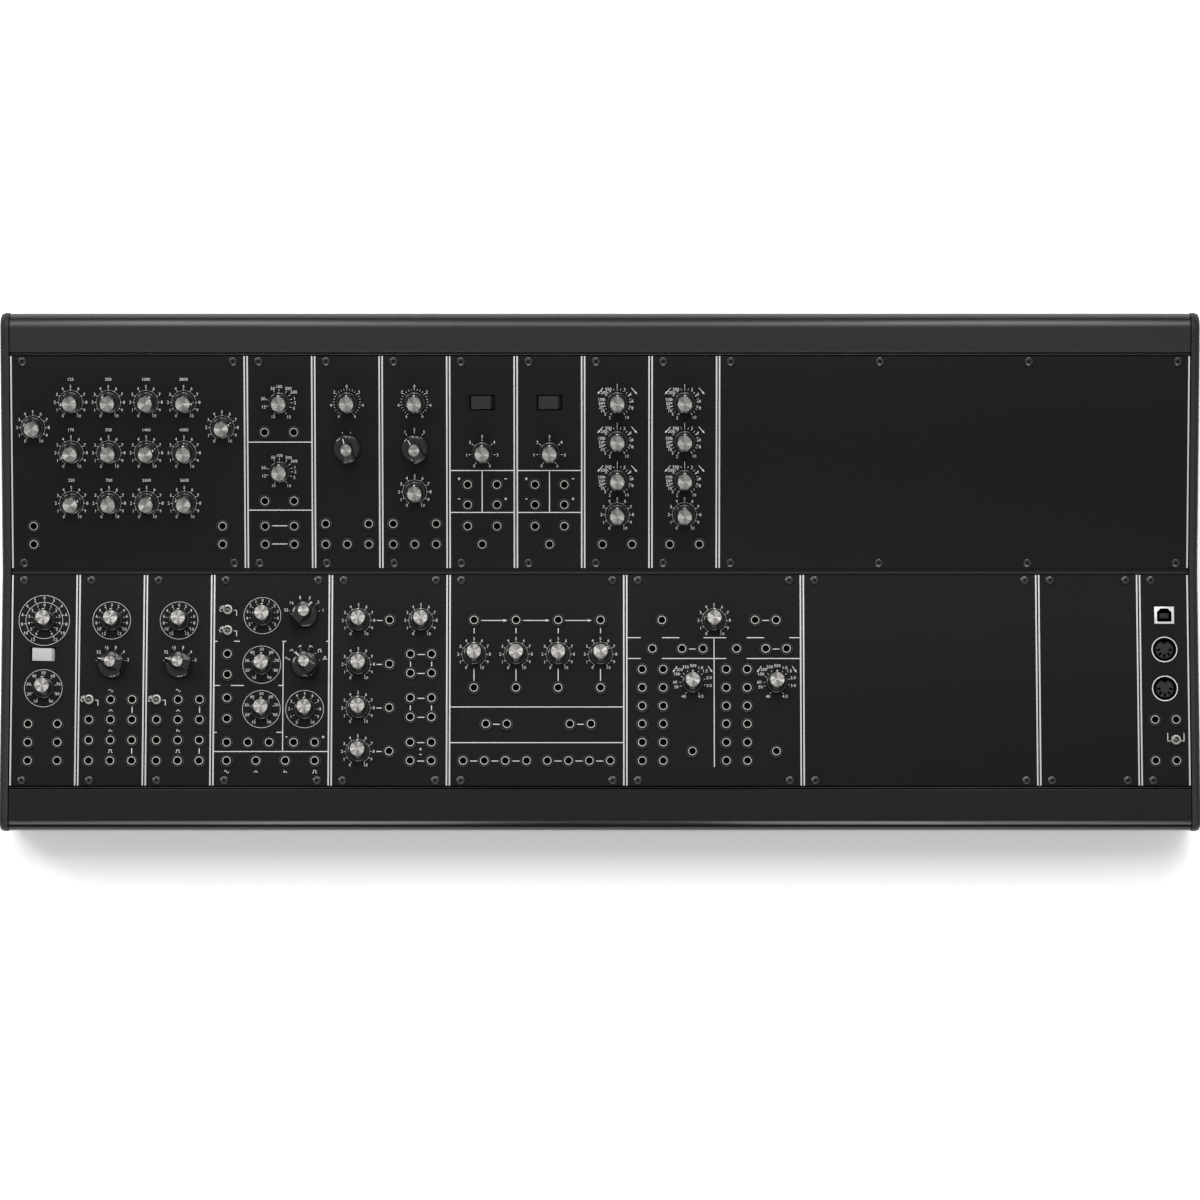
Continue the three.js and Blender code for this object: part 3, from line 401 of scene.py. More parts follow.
class SynthCaseFinish(bpy.types.PropertyGroup):
    extrusion: colour("Extrusions", "Colour of the black anodised extrusions", "#161616")
    # Darker copy of the extrusion colour for the front lip: painted shade
    worn: colour("Worn extrusions", "Colour of the extrusions that hands rub", "#0e0e0e")
    cheek: colour("Cheeks", "Colour of the side cheeks", "#262626")
    tray: colour("Tray", "Colour of the bottom tray", "#1f1f1f")
    rubber: colour("Rubber", "Colour of the foot strips", "#151515")
    white_rocker: colour("White rocker", "Colour of the white rocker", "#b4b4b2")
    black_rocker: colour("Black rocker", "Colour of the black rockers", "#262626")


class SynthStage(bpy.types.PropertyGroup):
    floor: colour("Floor", "Colour of the floor", "#fbfbfb")
    world: FloatProperty(name="World", description="Strength of the light from all round", default=0.42)
    gloss: FloatProperty(name="Gloss", description="Brightness that shiny faces see overhead", default=0.37)
    soft: FloatProperty(name="Soft light", description="Power of the broad light over the back",
                        default=55.5, unit="POWER")
    back: FloatProperty(name="Back lights", description="Power of each light over the back",
                        default=7.5, unit="POWER")
    front: FloatProperty(name="Front lights", description="Power of each light over the front",
                         default=7, unit="POWER")
    low: FloatProperty(name="Low lights", description="Power of the low lights that only shiny faces see",
                       default=0.42, unit="POWER")
    side: FloatProperty(name="Side light", description="Power of the light over the left corner",
                        default=14, unit="POWER")
    camera_height: length("Camera height", "Height of the camera over the floor", 4270)
    camera_depth: length("Camera depth", "How far the camera stands in front of the middle", 17.05)
    lens: FloatProperty(name="Lens", description="Focal length in millimetres", default=209.1,
                        unit="CAMERA")


def group_named(name):
    """The group of sizes and colours that the scene keeps under this name."""
    return getattr(bpy.context.scene, "synth_" + name)


def sizes_of(name):
    """The lengths of a property group in millimetres, and its other values as they are."""
    group = group_named(name)
    values = {}
    for key, rule in group.bl_rna.properties.items():
        if key not in OWN_OF_BLENDER:
            value = getattr(group, key)
            values[key] = value / MILLIMETRE if rule.unit == "LENGTH" else value
    return SimpleNamespace(**values)


# Materials
WHITE = (1, 1, 1, 1)
ALONG_WIDTH, ALONG_DEPTH, EVEN = (0.01, 1, 1), (1, 0.02, 1), (1, 1, 1)
BROAD_GRAIN = 60
CAP_MAP_RADIUS = 4.4

# Each finish: its colour (a hex code, or a group and its colour), its grain in millimetres, the strength of
# the relief, how far the roughness and the tone go to both sides, then roughness, metallic and specular,
# and the stretch of its grain
FINISHES = {
    # Fine powder coat on sheet metal: matt black with a grain that only breaks up the reflections
    "powder_coated_panel": ("panels.coat", 0.45, 0.25, 0.05, 0.08, 0.55, 0, 0.16),
    # Screen-printed epoxy ink: a matt off-white, slightly uneven where it lies thin
    "screen_printed_ink": ("panels.ink", 0.3, 0.1, 0.05, 0.1, 0.6, 0, 0.2),
    # Aluminium where the coat is left off: fine lines along the panel's side, from the brushing
    "brushed_aluminium_strip": ("panels.bare", 0.25, 0.05, 0.04, 0.05, 0.5, 0.35, 0.5, ALONG_DEPTH),
    # Moulded ABS: deep black, satin, with the faint orange peel of the mould
    "moulded_abs_knob": ("knobs.plastic", 0.8, 0.08, 0.04, 0.1, 0.17, 0, 0.8),
    # White paint wiped into the pointer grooves: matt and plain
    "pointer_paint": ("knobs.line", 0.3, 0.1, 0.05, 0.04, 0.5),
    # Nickel plating over brass: bright and slightly warm, with polishing haze
    "nickel_plating": ("sockets.plate", 0.5, 0.05, 0.06, 0.05, 0.36, 0.6),
    # Blackened brass of the sockets' nuts: dark, with a soft metallic glint on the rims
    "black_oxide": ("sockets.nut", 0.4, 0.15, 0.08, 0.15, 0.32, 0.7),
    # Black zinc on the panel screws: its rounded rim still throws a clear grey glint
    "black_zinc_screw": ("#565656", 0.4, 0.1, 0.06, 0.1, 0.28, 0.9),
    # Black nylon of contact housings, headers and jack bodies, showing next to no light; in bores, slots
    # and screw recesses it is painted shade
    "black_nylon": ("#0a0a0a", 0.6, 0.1, 0.05, 0.12, 0.7, 0, 0.2),
    # Glass-filled nylon insert of the round and square sockets: dark grey and matt
    "glass_filled_nylon": ("#262626", 0.5, 0.2, 0.06, 0.15, 0.55, 0, 0.3),
    # Tin-plated steel shell of the data socket: pale and soft, less sharp than nickel
    "tin_plated_shell": ("#ecebe8", 0.6, 0.1, 0.08, 0.06, 0.38, 0.6),
    # Black anodised extrusion: satin, with die lines along its length
    "black_anodised_extrusion": ("case.extrusion", 0.5, 0.05, 0.03, 0.05, 0.3, 0, 0.8, ALONG_WIDTH),
    # The same extrusion on the front lip: its colour is darker as painted shade, and a lower roughness
    # gives a clearer sheen along its rounded lip
    "worn_anodised_extrusion": ("case.worn", 0.5, 0.05, 0.03, 0.05, 0.16, 0, 0.5, ALONG_WIDTH),
    # Satin paint over pressed steel: smooth black with a fine stipple
    "satin_painted_cheek": ("case.cheek", 0.5, 0.2, 0.05, 0.08, 0.45, 0, 0.35),
    # Textured powder coat on the folded tray: matt, with a coarser stipple than the panels
    "textured_tray_coat": ("case.tray", 0.7, 0.4, 0.06, 0.1, 0.6, 0, 0.3),
    # Moulded rubber: dull black, slightly dusty
    "moulded_rubber": ("case.rubber", 0.6, 0.3, 0.05, 0.2, 0.85, 0, 0.25),
    # Moulded polycarbonate: satin black with a low sheen
    "black_rocker_plastic": ("case.black_rocker", 0.6, 0.1, 0.05, 0.06, 0.4, 0, 0.35),
    # The same plastic in white: bright, with soft edges
    "white_rocker_plastic": ("case.white_rocker", 0.6, 0.1, 0.05, 0.03, 0.4),
    # Green solder mask over glass fibre: the weave shows faintly through it
    "green_solder_mask": ("#17472a", 0.5, 0.15, 0.08, 0.2, 0.4),
}


def node(tree, kind, inputs=None, **settings):
    """Adds a node, with settings as attributes and inputs as values or as sockets to link from."""
    made = tree.nodes.new("ShaderNode" + kind)
    for key, value in settings.items():
        setattr(made, key, value)
    for key, value in (inputs or {}).items():
        if isinstance(value, bpy.types.NodeSocket):
            tree.links.new(value, made.inputs[key])
        else:
            made.inputs[key].default_value = value
    return made


def noise(tree, vector, scale, detail, roughness=0.5):
    return node(tree, "TexNoise", {"Vector": vector, "Scale": scale, "Detail": detail,
                                   "Roughness": roughness}).outputs["Fac"]


def stretched(tree, vector, scale):
    return node(tree, "Mapping", {"Vector": vector, "Scale": scale}).outputs["Vector"]


def ranged(tree, value, low, high, start=0, stop=1):
    """A value brought from one range to another, and held inside it."""
    return node(tree, "MapRange", {"Value": value, "From Min": low, "From Max": high,
                                   "To Min": start, "To Max": stop}).outputs["Result"]


def blend(tree, share, dark, light):
    return node(tree, "Mix", {"Factor": share, 6: (*dark, 1), 7: (*light, 1)},
                data_type="RGBA").outputs[2]


def shaded(name, tint, **sockets):
    """A new material with one principled shader, whose own sockets get the given values."""
    made = bpy.data.materials.new(name)
    made.use_nodes = True
    tree = made.node_tree
    tree.nodes.clear()
    values = {key.replace("_", " "): value for key, value in sockets.items()}
    shader = node(tree, "BsdfPrincipled", {"Base Color": (*tint, 1), **values})
    node(tree, "OutputMaterial", {"Surface": shader.outputs["BSDF"]})
    return made, tree, shader


def led_by(tree, shader, **sources):
    """Links sources to the shader's sockets of the same name."""
    for key, source in sources.items():
        tree.links.new(source, shader.inputs[key.replace("_", " ")])


def grained(name, tint, grain, bump, spread, tone, rough, metallic=0, specular=0.5, stretch=EVEN):
    """A material whose colour, roughness and relief follow one noise."""
    group, _, key = tint.partition(".")
    base = getattr(group_named(group), key) if key else linear(tint)
    made, tree, shader = shaded(name, base, Roughness=rough, Metallic=metallic, Specular_IOR_Level=specular)
    places = node(tree, "TexCoord").outputs["Object"]
    fine = noise(tree, stretched(tree, places, stretch), 1 / (grain * MILLIMETRE), 3, 0.6)
    broad = noise(tree, places, 1 / (BROAD_GRAIN * MILLIMETRE), 2)
    both = node(tree, "Math", {0: fine, 1: broad}, operation="ADD").outputs["Value"]
    low, high = 0.6, 1.4
    dark, light = ([min(1, value * share) for value in base] for share in (1 - tone, 1 + tone))
    relief = node(tree, "Bump", {"Height": fine, "Strength": bump, "Distance": 0.1 * grain * MILLIMETRE})
    led_by(tree, shader, Roughness=ranged(tree, both, low, high, rough - spread, rough + spread),
           Base_Color=blend(tree, ranged(tree, both, low, high), dark, light),
           Normal=relief.outputs["Normal"])
    return made


def spun_cap():
    """Spun aluminium: circular tool marks, so each light shows as two opposite bright sectors, with painted
    highlight and shade in sectors of its colour.
    """
    metal = group_named("knobs").metal
    made, tree, shader = shaded("spun_aluminium_cap", metal, Metallic=1, Roughness=0.3, Anisotropic=0.94)
    spun = node(tree, "UVMap", uv_map="spin").outputs["UV"]
    # Tool marks are 0.05 mm apart; they are drawn at 0.2 mm so that they show
    rings = noise(tree, stretched(tree, spun, (1, 22, 1)), 1, 2)
    # Painted highlight and shade: the colour turns bright and dark in broad sectors round the cap, where
    # reflections of the lights fall; the sectors turn with the knob
    painted_light_and_shade_sectors = noise(tree, stretched(tree, spun, (7, 0.1, 1)), 1, 3)
    tangent = node(tree, "Tangent", direction_type="UV_MAP", uv_map="spin")
    led_by(tree, shader, Roughness=ranged(tree, rings, 0.3, 0.7, 0.26, 0.34),
           Base_Color=blend(tree, ranged(tree, painted_light_and_shade_sectors, 0.38, 0.6), [value / 2 for value in metal], metal),
           Tangent=tangent.outputs["Tangent"])
    return made


def finish(name):
    """The material of this name, made when it is first asked for."""
    if name in bpy.data.materials:
        return bpy.data.materials[name]
    return grained(name, *FINISHES[name]) if name in FINISHES else spun_cap()


# Modelling
def deselect_all():
    if bpy.context.object and bpy.context.object.mode != "OBJECT":
        bpy.ops.object.mode_set(mode="OBJECT")
    bpy.ops.object.select_all(action="DESELECT")


def activate(made):
    deselect_all()
    made.select_set(True)
    bpy.context.view_layer.objects.active = made


@contextmanager
def editing(made):
    """Edit mode on one object, with all of it selected, and object mode afterwards."""
    activate(made)
    bpy.ops.object.mode_set(mode="EDIT")
    bpy.ops.mesh.select_all(action="SELECT")
    yield bpy.ops.mesh
    bpy.ops.object.mode_set(mode="OBJECT")


def select_where(made, mode, test):
    """In edit mode, selects the elements of one kind that pass the test, and nothing else."""
    bpy.ops.mesh.select_mode(type=mode)
    shape = bmesh.from_edit_mesh(made.data)
    elements = {"VERT": shape.verts, "EDGE": shape.edges, "FACE": shape.faces}[mode]
    for part in (*shape.verts, *shape.edges, *shape.faces):
        part.select = False
    for part in elements:
        if test(part):
            part.select_set(True)
    bmesh.update_edit_mesh(made.data)


def moved(x=0, y=0, z=0):
    """The step of an extrusion, for the operators that extrude and move in one."""
    return {"value": (x, y, z)}


def widened(share, height=0, share_y=None):
    """In edit mode, scales the selected points about the axis."""
    bpy.ops.transform.resize(value=(share, share if share_y is None else share_y, 1),
                             center_override=(0, 0, height))


def sliced(places):
    """In edit mode, cuts new edges across the part at the given places on X."""
    for x in places:
        bpy.ops.mesh.select_all(action="SELECT")
        bpy.ops.mesh.bisect(plane_co=(x, 0, 0), plane_no=(1, 0, 0))


def smooth(made, degrees):
    activate(made)
    bpy.ops.object.shade_smooth_by_angle(angle=math.radians(degrees))


def modified(made, kind, **settings):
    """Applies one modifier with the given settings."""
    activate(made)
    rule = made.modifiers.new(kind.lower(), kind)
    for key, value in settings.items():
        setattr(rule, key, value)
    bpy.ops.object.modifier_apply(modifier=rule.name)


def painted(made, *finishes):
    for paint in finishes:
        made.data.materials.append(finish(paint))
    return made


def close_up(made):
    """Merges doubled points and turns every face outwards."""
    with editing(made) as mesh:
        mesh.remove_doubles(threshold=DOUBLED)
        mesh.normals_make_consistent(inside=False)


def started(name):
    """Names the primitive that was just added, and puts its size and place into its points."""
    made = bpy.context.object
    made.name = name
    bpy.ops.object.transform_apply(location=True, rotation=True, scale=True)
    return made


def block(name, low, high, bevel=0, segments=2):
    """A block between two corners in millimetres, with its edges broken."""
    deselect_all()
    bpy.ops.mesh.primitive_cube_add(size=1, location=[(a + b) / 2 for a, b in zip(low, high)])
    bpy.context.object.scale = [b - a for a, b in zip(low, high)]
    made = started(name)
    if bevel:
        with editing(made) as mesh:
            mesh.bevel(offset=bevel, segments=segments, affect="EDGES")
    return made


def outlined(name, outline, low, high, bevel=0):
    """A plate with the given outline, drawn point by point and raised from one height to another."""
    deselect_all()
    bpy.ops.mesh.primitive_plane_add(size=0.1, location=(0, 0, low))
    made = started(name)
    ends = [Vector(outline[0]), Vector(outline[-1])]
    with editing(made) as mesh:
        mesh.select_mode(type="VERT")
        mesh.merge(type="CENTER")
        bpy.ops.transform.translate(value=(*outline[0], 0))
        for (x0, y0), (x1, y1) in zip(outline, outline[1:]):
            mesh.extrude_vertices_move(TRANSFORM_OT_translate=moved(x1 - x0, y1 - y0))
        select_where(made, "VERT", lambda point: any((point.co.xy - end).length < DOUBLED for end in ends))
        mesh.edge_face_add()
        mesh.select_all(action="SELECT")
        mesh.edge_face_add()
        mesh.extrude_region_move(TRANSFORM_OT_translate=moved(z=high - low))
        if bevel:
            mesh.region_to_loop()
            mesh.bevel(offset=bevel, segments=2, affect="EDGES")
    close_up(made)
    return made


def turned(name, rings, sides, finishes=(), flute=None, degrees=None):
    """A solid of revolution about Z. Each ring is (radius, height, place of its finish in the list)."""
    deselect_all()
    radius, height, _ = rings[0]
    bpy.ops.mesh.primitive_circle_add(vertices=sides, radius=radius, fill_type="NGON",
                                      location=(0, 0, height))
    made = started(name)
    with editing(made) as mesh:
        for next_radius, next_height, _ in rings[1:]:
            mesh.extrude_region_move(TRANSFORM_OT_translate=moved(z=next_height - height))
            if abs(next_radius - radius) > DOUBLED:
                widened(next_radius / radius, next_height)
            radius, height = next_radius, next_height
    close_up(painted(made, *finishes))
    bands = [rings[0], rings[-1]]
    bands += [((a[0] + b[0]) / 2, (a[1] + b[1]) / 2, b[2]) for a, b in zip(rings, rings[1:])]
    for face in made.data.polygons:
        points = [made.data.vertices[place].co for place in face.vertices]
        reach = sum(point.xy.length for point in points) / len(points)
        rise = sum(point.z for point in points) / len(points)
        face.material_index = min(bands, key=lambda band: abs(band[0] - reach) + abs(band[1] - rise))[2]
    if flute:
        flute_body(made, sides, *flute)
    if degrees:
        smooth(made, degrees)
    return made


def flute_body(made, sides, low, high, depth, radius):
    """Draws in every second edge of the part between two heights."""
    def in_groove(vertex):
        place = round(math.atan2(vertex.co.y, vertex.co.x) / FULL_TURN * sides)
        return low < vertex.co.z < high and place % 2

    with editing(made):
        select_where(made, "VERT", in_groove)
        widened((radius - depth) / radius)


def spin_map(made):
    """A map with the angle across and the radius up, for marks that run in circles."""
    layer = made.data.uv_layers.new(name="spin")
    for face in made.data.polygons:
        centre = math.atan2(face.center.y, face.center.x)
        for loop in face.loop_indices:
            spot = made.data.vertices[made.data.loops[loop].vertex_index].co
            turn = math.atan2(spot.y, spot.x) - centre
            turn = (turn + math.pi) % FULL_TURN - math.pi
            layer.data[loop].uv = ((centre + turn) / FULL_TURN, spot.xy.length / CAP_MAP_RADIUS)


def cut_out(made, cutter):
    """Subtracts the cutter from the solid and removes the cutter."""
    modified(made, "BOOLEAN", operation="DIFFERENCE", solver="EXACT", object=cutter)
    bpy.data.objects.remove(cutter)


def refinished(made, place, test):
    """Gives the faces whose middle passes the test the finish at this place in the list."""
    for face in made.data.polygons:
        if test(face.center):
            face.material_index = place


MASTERS = {}


def master(make, *facts):
    """The mesh of a shape that is modelled once. Every copy gets its own."""
    key = (make, *facts)
    if key not in MASTERS:
        made = make(*facts)
        MASTERS[key] = made.data
        bpy.data.objects.remove(made)
    return MASTERS[key]


def gathered(name, stamps):
    """One object from copies of masters, each (mesh, matrix)."""
    finishes = []
    built = bmesh.new()
    for shape, matrix in stamps:
        copy = shape.copy()
        copy.transform(matrix)
        places = []
        for paint in shape.materials:
            if paint not in finishes:
                finishes.append(paint)
            places.append(finishes.index(paint))
        for face in copy.polygons:
            face.material_index = places[face.material_index] if places else 0
        built.from_mesh(copy)
        bpy.data.meshes.remove(copy)
    mesh = bpy.data.meshes.new(name)
    built.to_mesh(mesh)
    built.free()
    for paint in finishes:
        mesh.materials.append(paint)
    made = bpy.data.objects.new(name, mesh)
    bpy.context.scene.collection.objects.link(made)
    return made


def joined(name, *parts):
    """One object from several, which are used up."""
    whole = gathered(name, [(part.data, Matrix.Identity(4)) for part in parts])
    for part in parts:
        bpy.data.objects.remove(part)
    return whole


def finished(made, name, body, slot, *nodes):
    """Names a piece, sets it under the empty of the body it moves with, and hides the CAD nodes it stands
    for. The slot is not used.
    """
    made.name = name
    made.data.name = name
    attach(made, body)
    if nodes:
        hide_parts(*nodes)


def shift(x, y):
    return Matrix.Translation((x, y, 0))


def turn(degrees, axis="Z"):
    return Matrix.Rotation(math.radians(degrees), 4, axis)


def panels():
    """Every module's name, its controls, the matrix from its millimetres to the frame, and its width."""
    for name, spec in MODULES.items():
        yield name, spec, *panel_frame(name, spec["row"])


def placed(spec, width, shapes, place=Matrix.Identity(4)):
    """Each shape at all the places of its kind on one panel."""
    return [(shape, place @ shift(share * width, height * PANEL_HEIGHT))
            for key, shape in shapes for share, height, *_ in spec.get(key, [])]


# Case: its pieces with their finish, their slot and the width of their broken edges
FLAT_ANGLE, EDGE_ANGLE = math.radians(1), math.radians(38)
CASE_PIECES = (
    # The front lip's darker colour is painted shade
    ("front_profile", "worn_anodised_extrusion", "cap_extrusion", 0.35),
    ("centre_profile", "textured_tray_coat", "cap_extrusion", 0.2),
    ("top_profile", "black_anodised_extrusion", "cap_extrusion", 0.35),
    ("left_cheek", "satin_painted_cheek", "cheek_coat", 0),
    ("right_cheek", "satin_painted_cheek", "cheek_coat", 0),
    ("case_tray", "textured_tray_coat", "tray_sheet", 0.25),
    ("front_foot_strip", "moulded_rubber", "foot_rubber", 0.6),
    ("rear_foot_strip", "moulded_rubber", "foot_rubber", 0.6),
)


def dressed_copy(node_name, bevel, degrees, *finishes):
    """A copy of a CAD node with flat faces made whole, its edges broken and its curves smooth."""
    made = bpy.data.objects.new(node_name + "_shape", frame["nodes"][node_name].data.copy())
    bpy.context.scene.collection.objects.link(made)
    made.data.materials.clear()
    painted(made, *finishes)
    with editing(made) as mesh:
        mesh.remove_doubles(threshold=MILLIMETRE / 1000)
        mesh.dissolve_limited(angle_limit=FLAT_ANGLE)
    if bevel:
        modified(made, "BEVEL", width=bevel * MILLIMETRE, segments=2, limit_method="ANGLE",
                 angle_limit=EDGE_ANGLE, use_clamp_overlap=True)
    smooth(made, degrees)
    # Wide faces stay flat up to their broken edges, so no light creeps across them
    modified(made, "WEIGHTED_NORMAL", keep_sharp=True)
    return made


class SYNTH_OT_case(bpy.types.Operator):
    """Dresses the extrusions, cheeks, tray and foot strips of the case"""
    bl_idname = "synth.case"
    bl_label = "Case"

    def execute(self, context):
        for name, paint, slot, bevel in CASE_PIECES:
            finished(dressed_copy(name, bevel, 40, paint), name + "_dressed", "case", slot, name)
        return {"FINISHED"}


class SYNTH_OT_power(bpy.types.Operator):
    """Dresses the power board with its posts, headers, inlet and switch well"""
    bl_idname = "synth.power"
    bl_label = "Power board"

    def execute(self, context):
        made = dressed_copy("power_board", 0, 30, "green_solder_mask", "black_nylon", "nickel_plating")
        low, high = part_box("power_board")
        post_top = low.z + 8 * MILLIMETRE
        board_top = post_top + 1.7 * MILLIMETRE
        board_back = high.y - 4.4 * MILLIMETRE
        refinished(made, 2, lambda centre: centre.z < post_top - 0.5 * MILLIMETRE)
        refinished(made, 1, lambda centre: centre.z > board_top or centre.y > board_back)
        finished(made, "power_board_dressed", "case", "circuit_board", "power_board")
        return {"FINISHED"}


# Panels
def hole(radius, sides):
    """The cutter for a round hole through a panel."""
    return turned("hole", [(radius, HOLE_LOW, 0), (radius, HOLE_HIGH, 0)], sides)


def slot_hole(half_width, half_height):
    """The cutter for a square hole through a panel."""
    return block("slot_hole", (-half_width, -half_height, HOLE_LOW), (half_width, half_height, HOLE_HIGH))


def panel_plate(name, width, sizes, stamps):
    """A coated plate with a bare strip along each side, and openings where pieces pass through."""
    made = block(name, (0, 0, -PANEL_THICKNESS), (width, PANEL_HEIGHT, 0))
    inner = sizes.strip_from + sizes.strip_width
    with editing(made) as mesh:
        select_where(made, "EDGE", lambda edge: all(abs(v.co.z) < DOUBLED for v in edge.verts))
        mesh.bevel(offset=sizes.edge, segments=2, affect="EDGES")
        sliced((sizes.strip_from, inner, width - inner, width - sizes.strip_from))
    painted(made, "powder_coated_panel", "brushed_aluminium_strip")
    for face in made.data.polygons:
        from_side = min(face.center.x, width - face.center.x)
        on_strip = sizes.strip_from < from_side < inner
        face.material_index = 1 if on_strip and face.normal.z > UPWARD else 0
    if stamps:
        cut_out(made, gathered(name + "_holes", stamps))
    smooth(made, 30)
    return made


class SYNTH_OT_panels(bpy.types.Operator):
    """Makes the front panels with their bare side strips and openings"""
    bl_idname = "synth.panels"
    bl_label = "Panels"

    def execute(self, context):
        sizes = sizes_of("panels")
        shaft_hole = master(hole, 3.6, 12)
        openings = (("sockets", master(hole, 3.4, 12)), ("toggles", master(hole, 2.6, 12)),
                    ("dials", shaft_hole), ("selectors", shaft_hole),
                    ("rockers", master(slot_hole, 7.75, 4.65)), ("rounds", master(hole, 7.2, 40)),
                    ("data", master(slot_hole, 5.8, 5.05)))
        for name, spec, place, width in panels():
            # A second scale round one knob needs no second hole
            dials = [dial for dial in spec.get("dials", []) if dial[-1] is not None]
            stamps = placed({**spec, "dials": dials}, width, openings)
            made = panel_plate(name + "_plate", width, sizes, stamps)
            made.data.transform(place)
            finished(made, name + "_panel", "case", "panel_coat", name)
        return {"FINISHED"}


# Printing: lengths and widths of marks in millimetres
SIGN_REACH, SIGN_WIDTH = 0.8, 0.42
DASH_REACH = 0.7
WAVE_SCALE, WAVE_WIDTH = 0.8, 0.34
SLANT_WIDTH, SLANT_HEAD, SLANT_BACK = 0.36, 0.72, 1.2
HOOK_WIDTH = 0.42
LINK_WIDTH, UPRIGHT_WIDTH = 0.5, 0.55
ARROW_BACK = 5.2
# Widths of fine ticks and arcs as shares of a tick's, and how far bars lap over, as a share of half theirs
FINE_SHARE, ARC_SHARE, LAP = 0.8, 0.35, 0.6
# Degrees between the corners of an arc, and the height of numerals and their gaps as the font gives them
ARC_STEP, NUMERAL_SHARE, NUMERAL_GAP = 7.5, 0.7, 1.04

# Lines from one socket to the next, and how far they stay off the middles of the left and the right one
GAPS = {"links": (4.25, 4.25), "bonds": (0, 0), "arrows": (4.2, 6.6)}

# Bracket lines beside a toggle, which lead to its two or three positions
HOOKS = {
    "two": [[(3.7, -0.1), (5.3, -0.1), (5.3, -3.2)],
            [(-3.7, -0.7), (-4.6, -0.7), (-5, 0.2), (-4.3, 1.2), (-4.7, 2)]],
    "three": [[(side * 3.2, -0.4), (side * 4.9, -0.4), (side * 4.9, 4.4)] for side in (-1, 1)],
}


def ink_bar():
    """A bar of ink of unit length, width and thickness, which is stretched where it is used."""
    return painted(block("ink_bar", (0, -0.5, -1), (1, 0.5, 1)), "screen_printed_ink")


def ink_arc(radius, width, start, stop, thickness):
    """A ring, or part of one, of ink."""
    deselect_all()
    bpy.ops.mesh.primitive_plane_add(size=1, location=(0, 0, 0))
    made = bpy.context.object
    corners = [(radius + reach, height) for height in (-thickness, thickness)
               for reach in (-width / 2, width / 2)]
    for vertex, (reach, height) in zip(made.data.vertices, corners):
        vertex.co = (0, reach, height)
    with editing(made) as mesh:
        mesh.delete(type="ONLY_FACE")
        mesh.select_all(action="SELECT")
        mesh.spin(steps=round((stop - start) / ARC_STEP), angle=-math.radians(stop - start),
                  center=(0, 0, 0), axis=(0, 0, 1))
        mesh.select_all(action="SELECT")
        mesh.remove_doubles(threshold=DOUBLED)
        if stop - start < 360:
            mesh.fill_holes(sides=4)
        mesh.normals_make_consistent(inside=False)
    made.data.transform(turn(-stop))
    return painted(made, "screen_printed_ink")


def ink_text(text, height, thickness):
    """Numerals of ink, as a closed solid with its middle at the origin."""
    deselect_all()
    bpy.ops.object.text_add(location=(0, 0, 0))
    letters = bpy.context.object.data
    letters.body = text
    letters.align_x = letters.align_y = "CENTER"
    letters.size = height / NUMERAL_SHARE
    letters.space_character = NUMERAL_GAP
    letters.resolution_u = 2
    letters.extrude = thickness
    bpy.ops.object.convert(target="MESH")
    made = bpy.context.object
    close_up(made)
    made.data.materials.clear()
    return painted(made, "screen_printed_ink")


def arrow_head(thickness):
    outline = [(0, 0), (-2.4, 0.85), (-2.4, -0.85)]
    return painted(outlined("arrow_head", outline, -thickness, thickness), "screen_printed_ink")


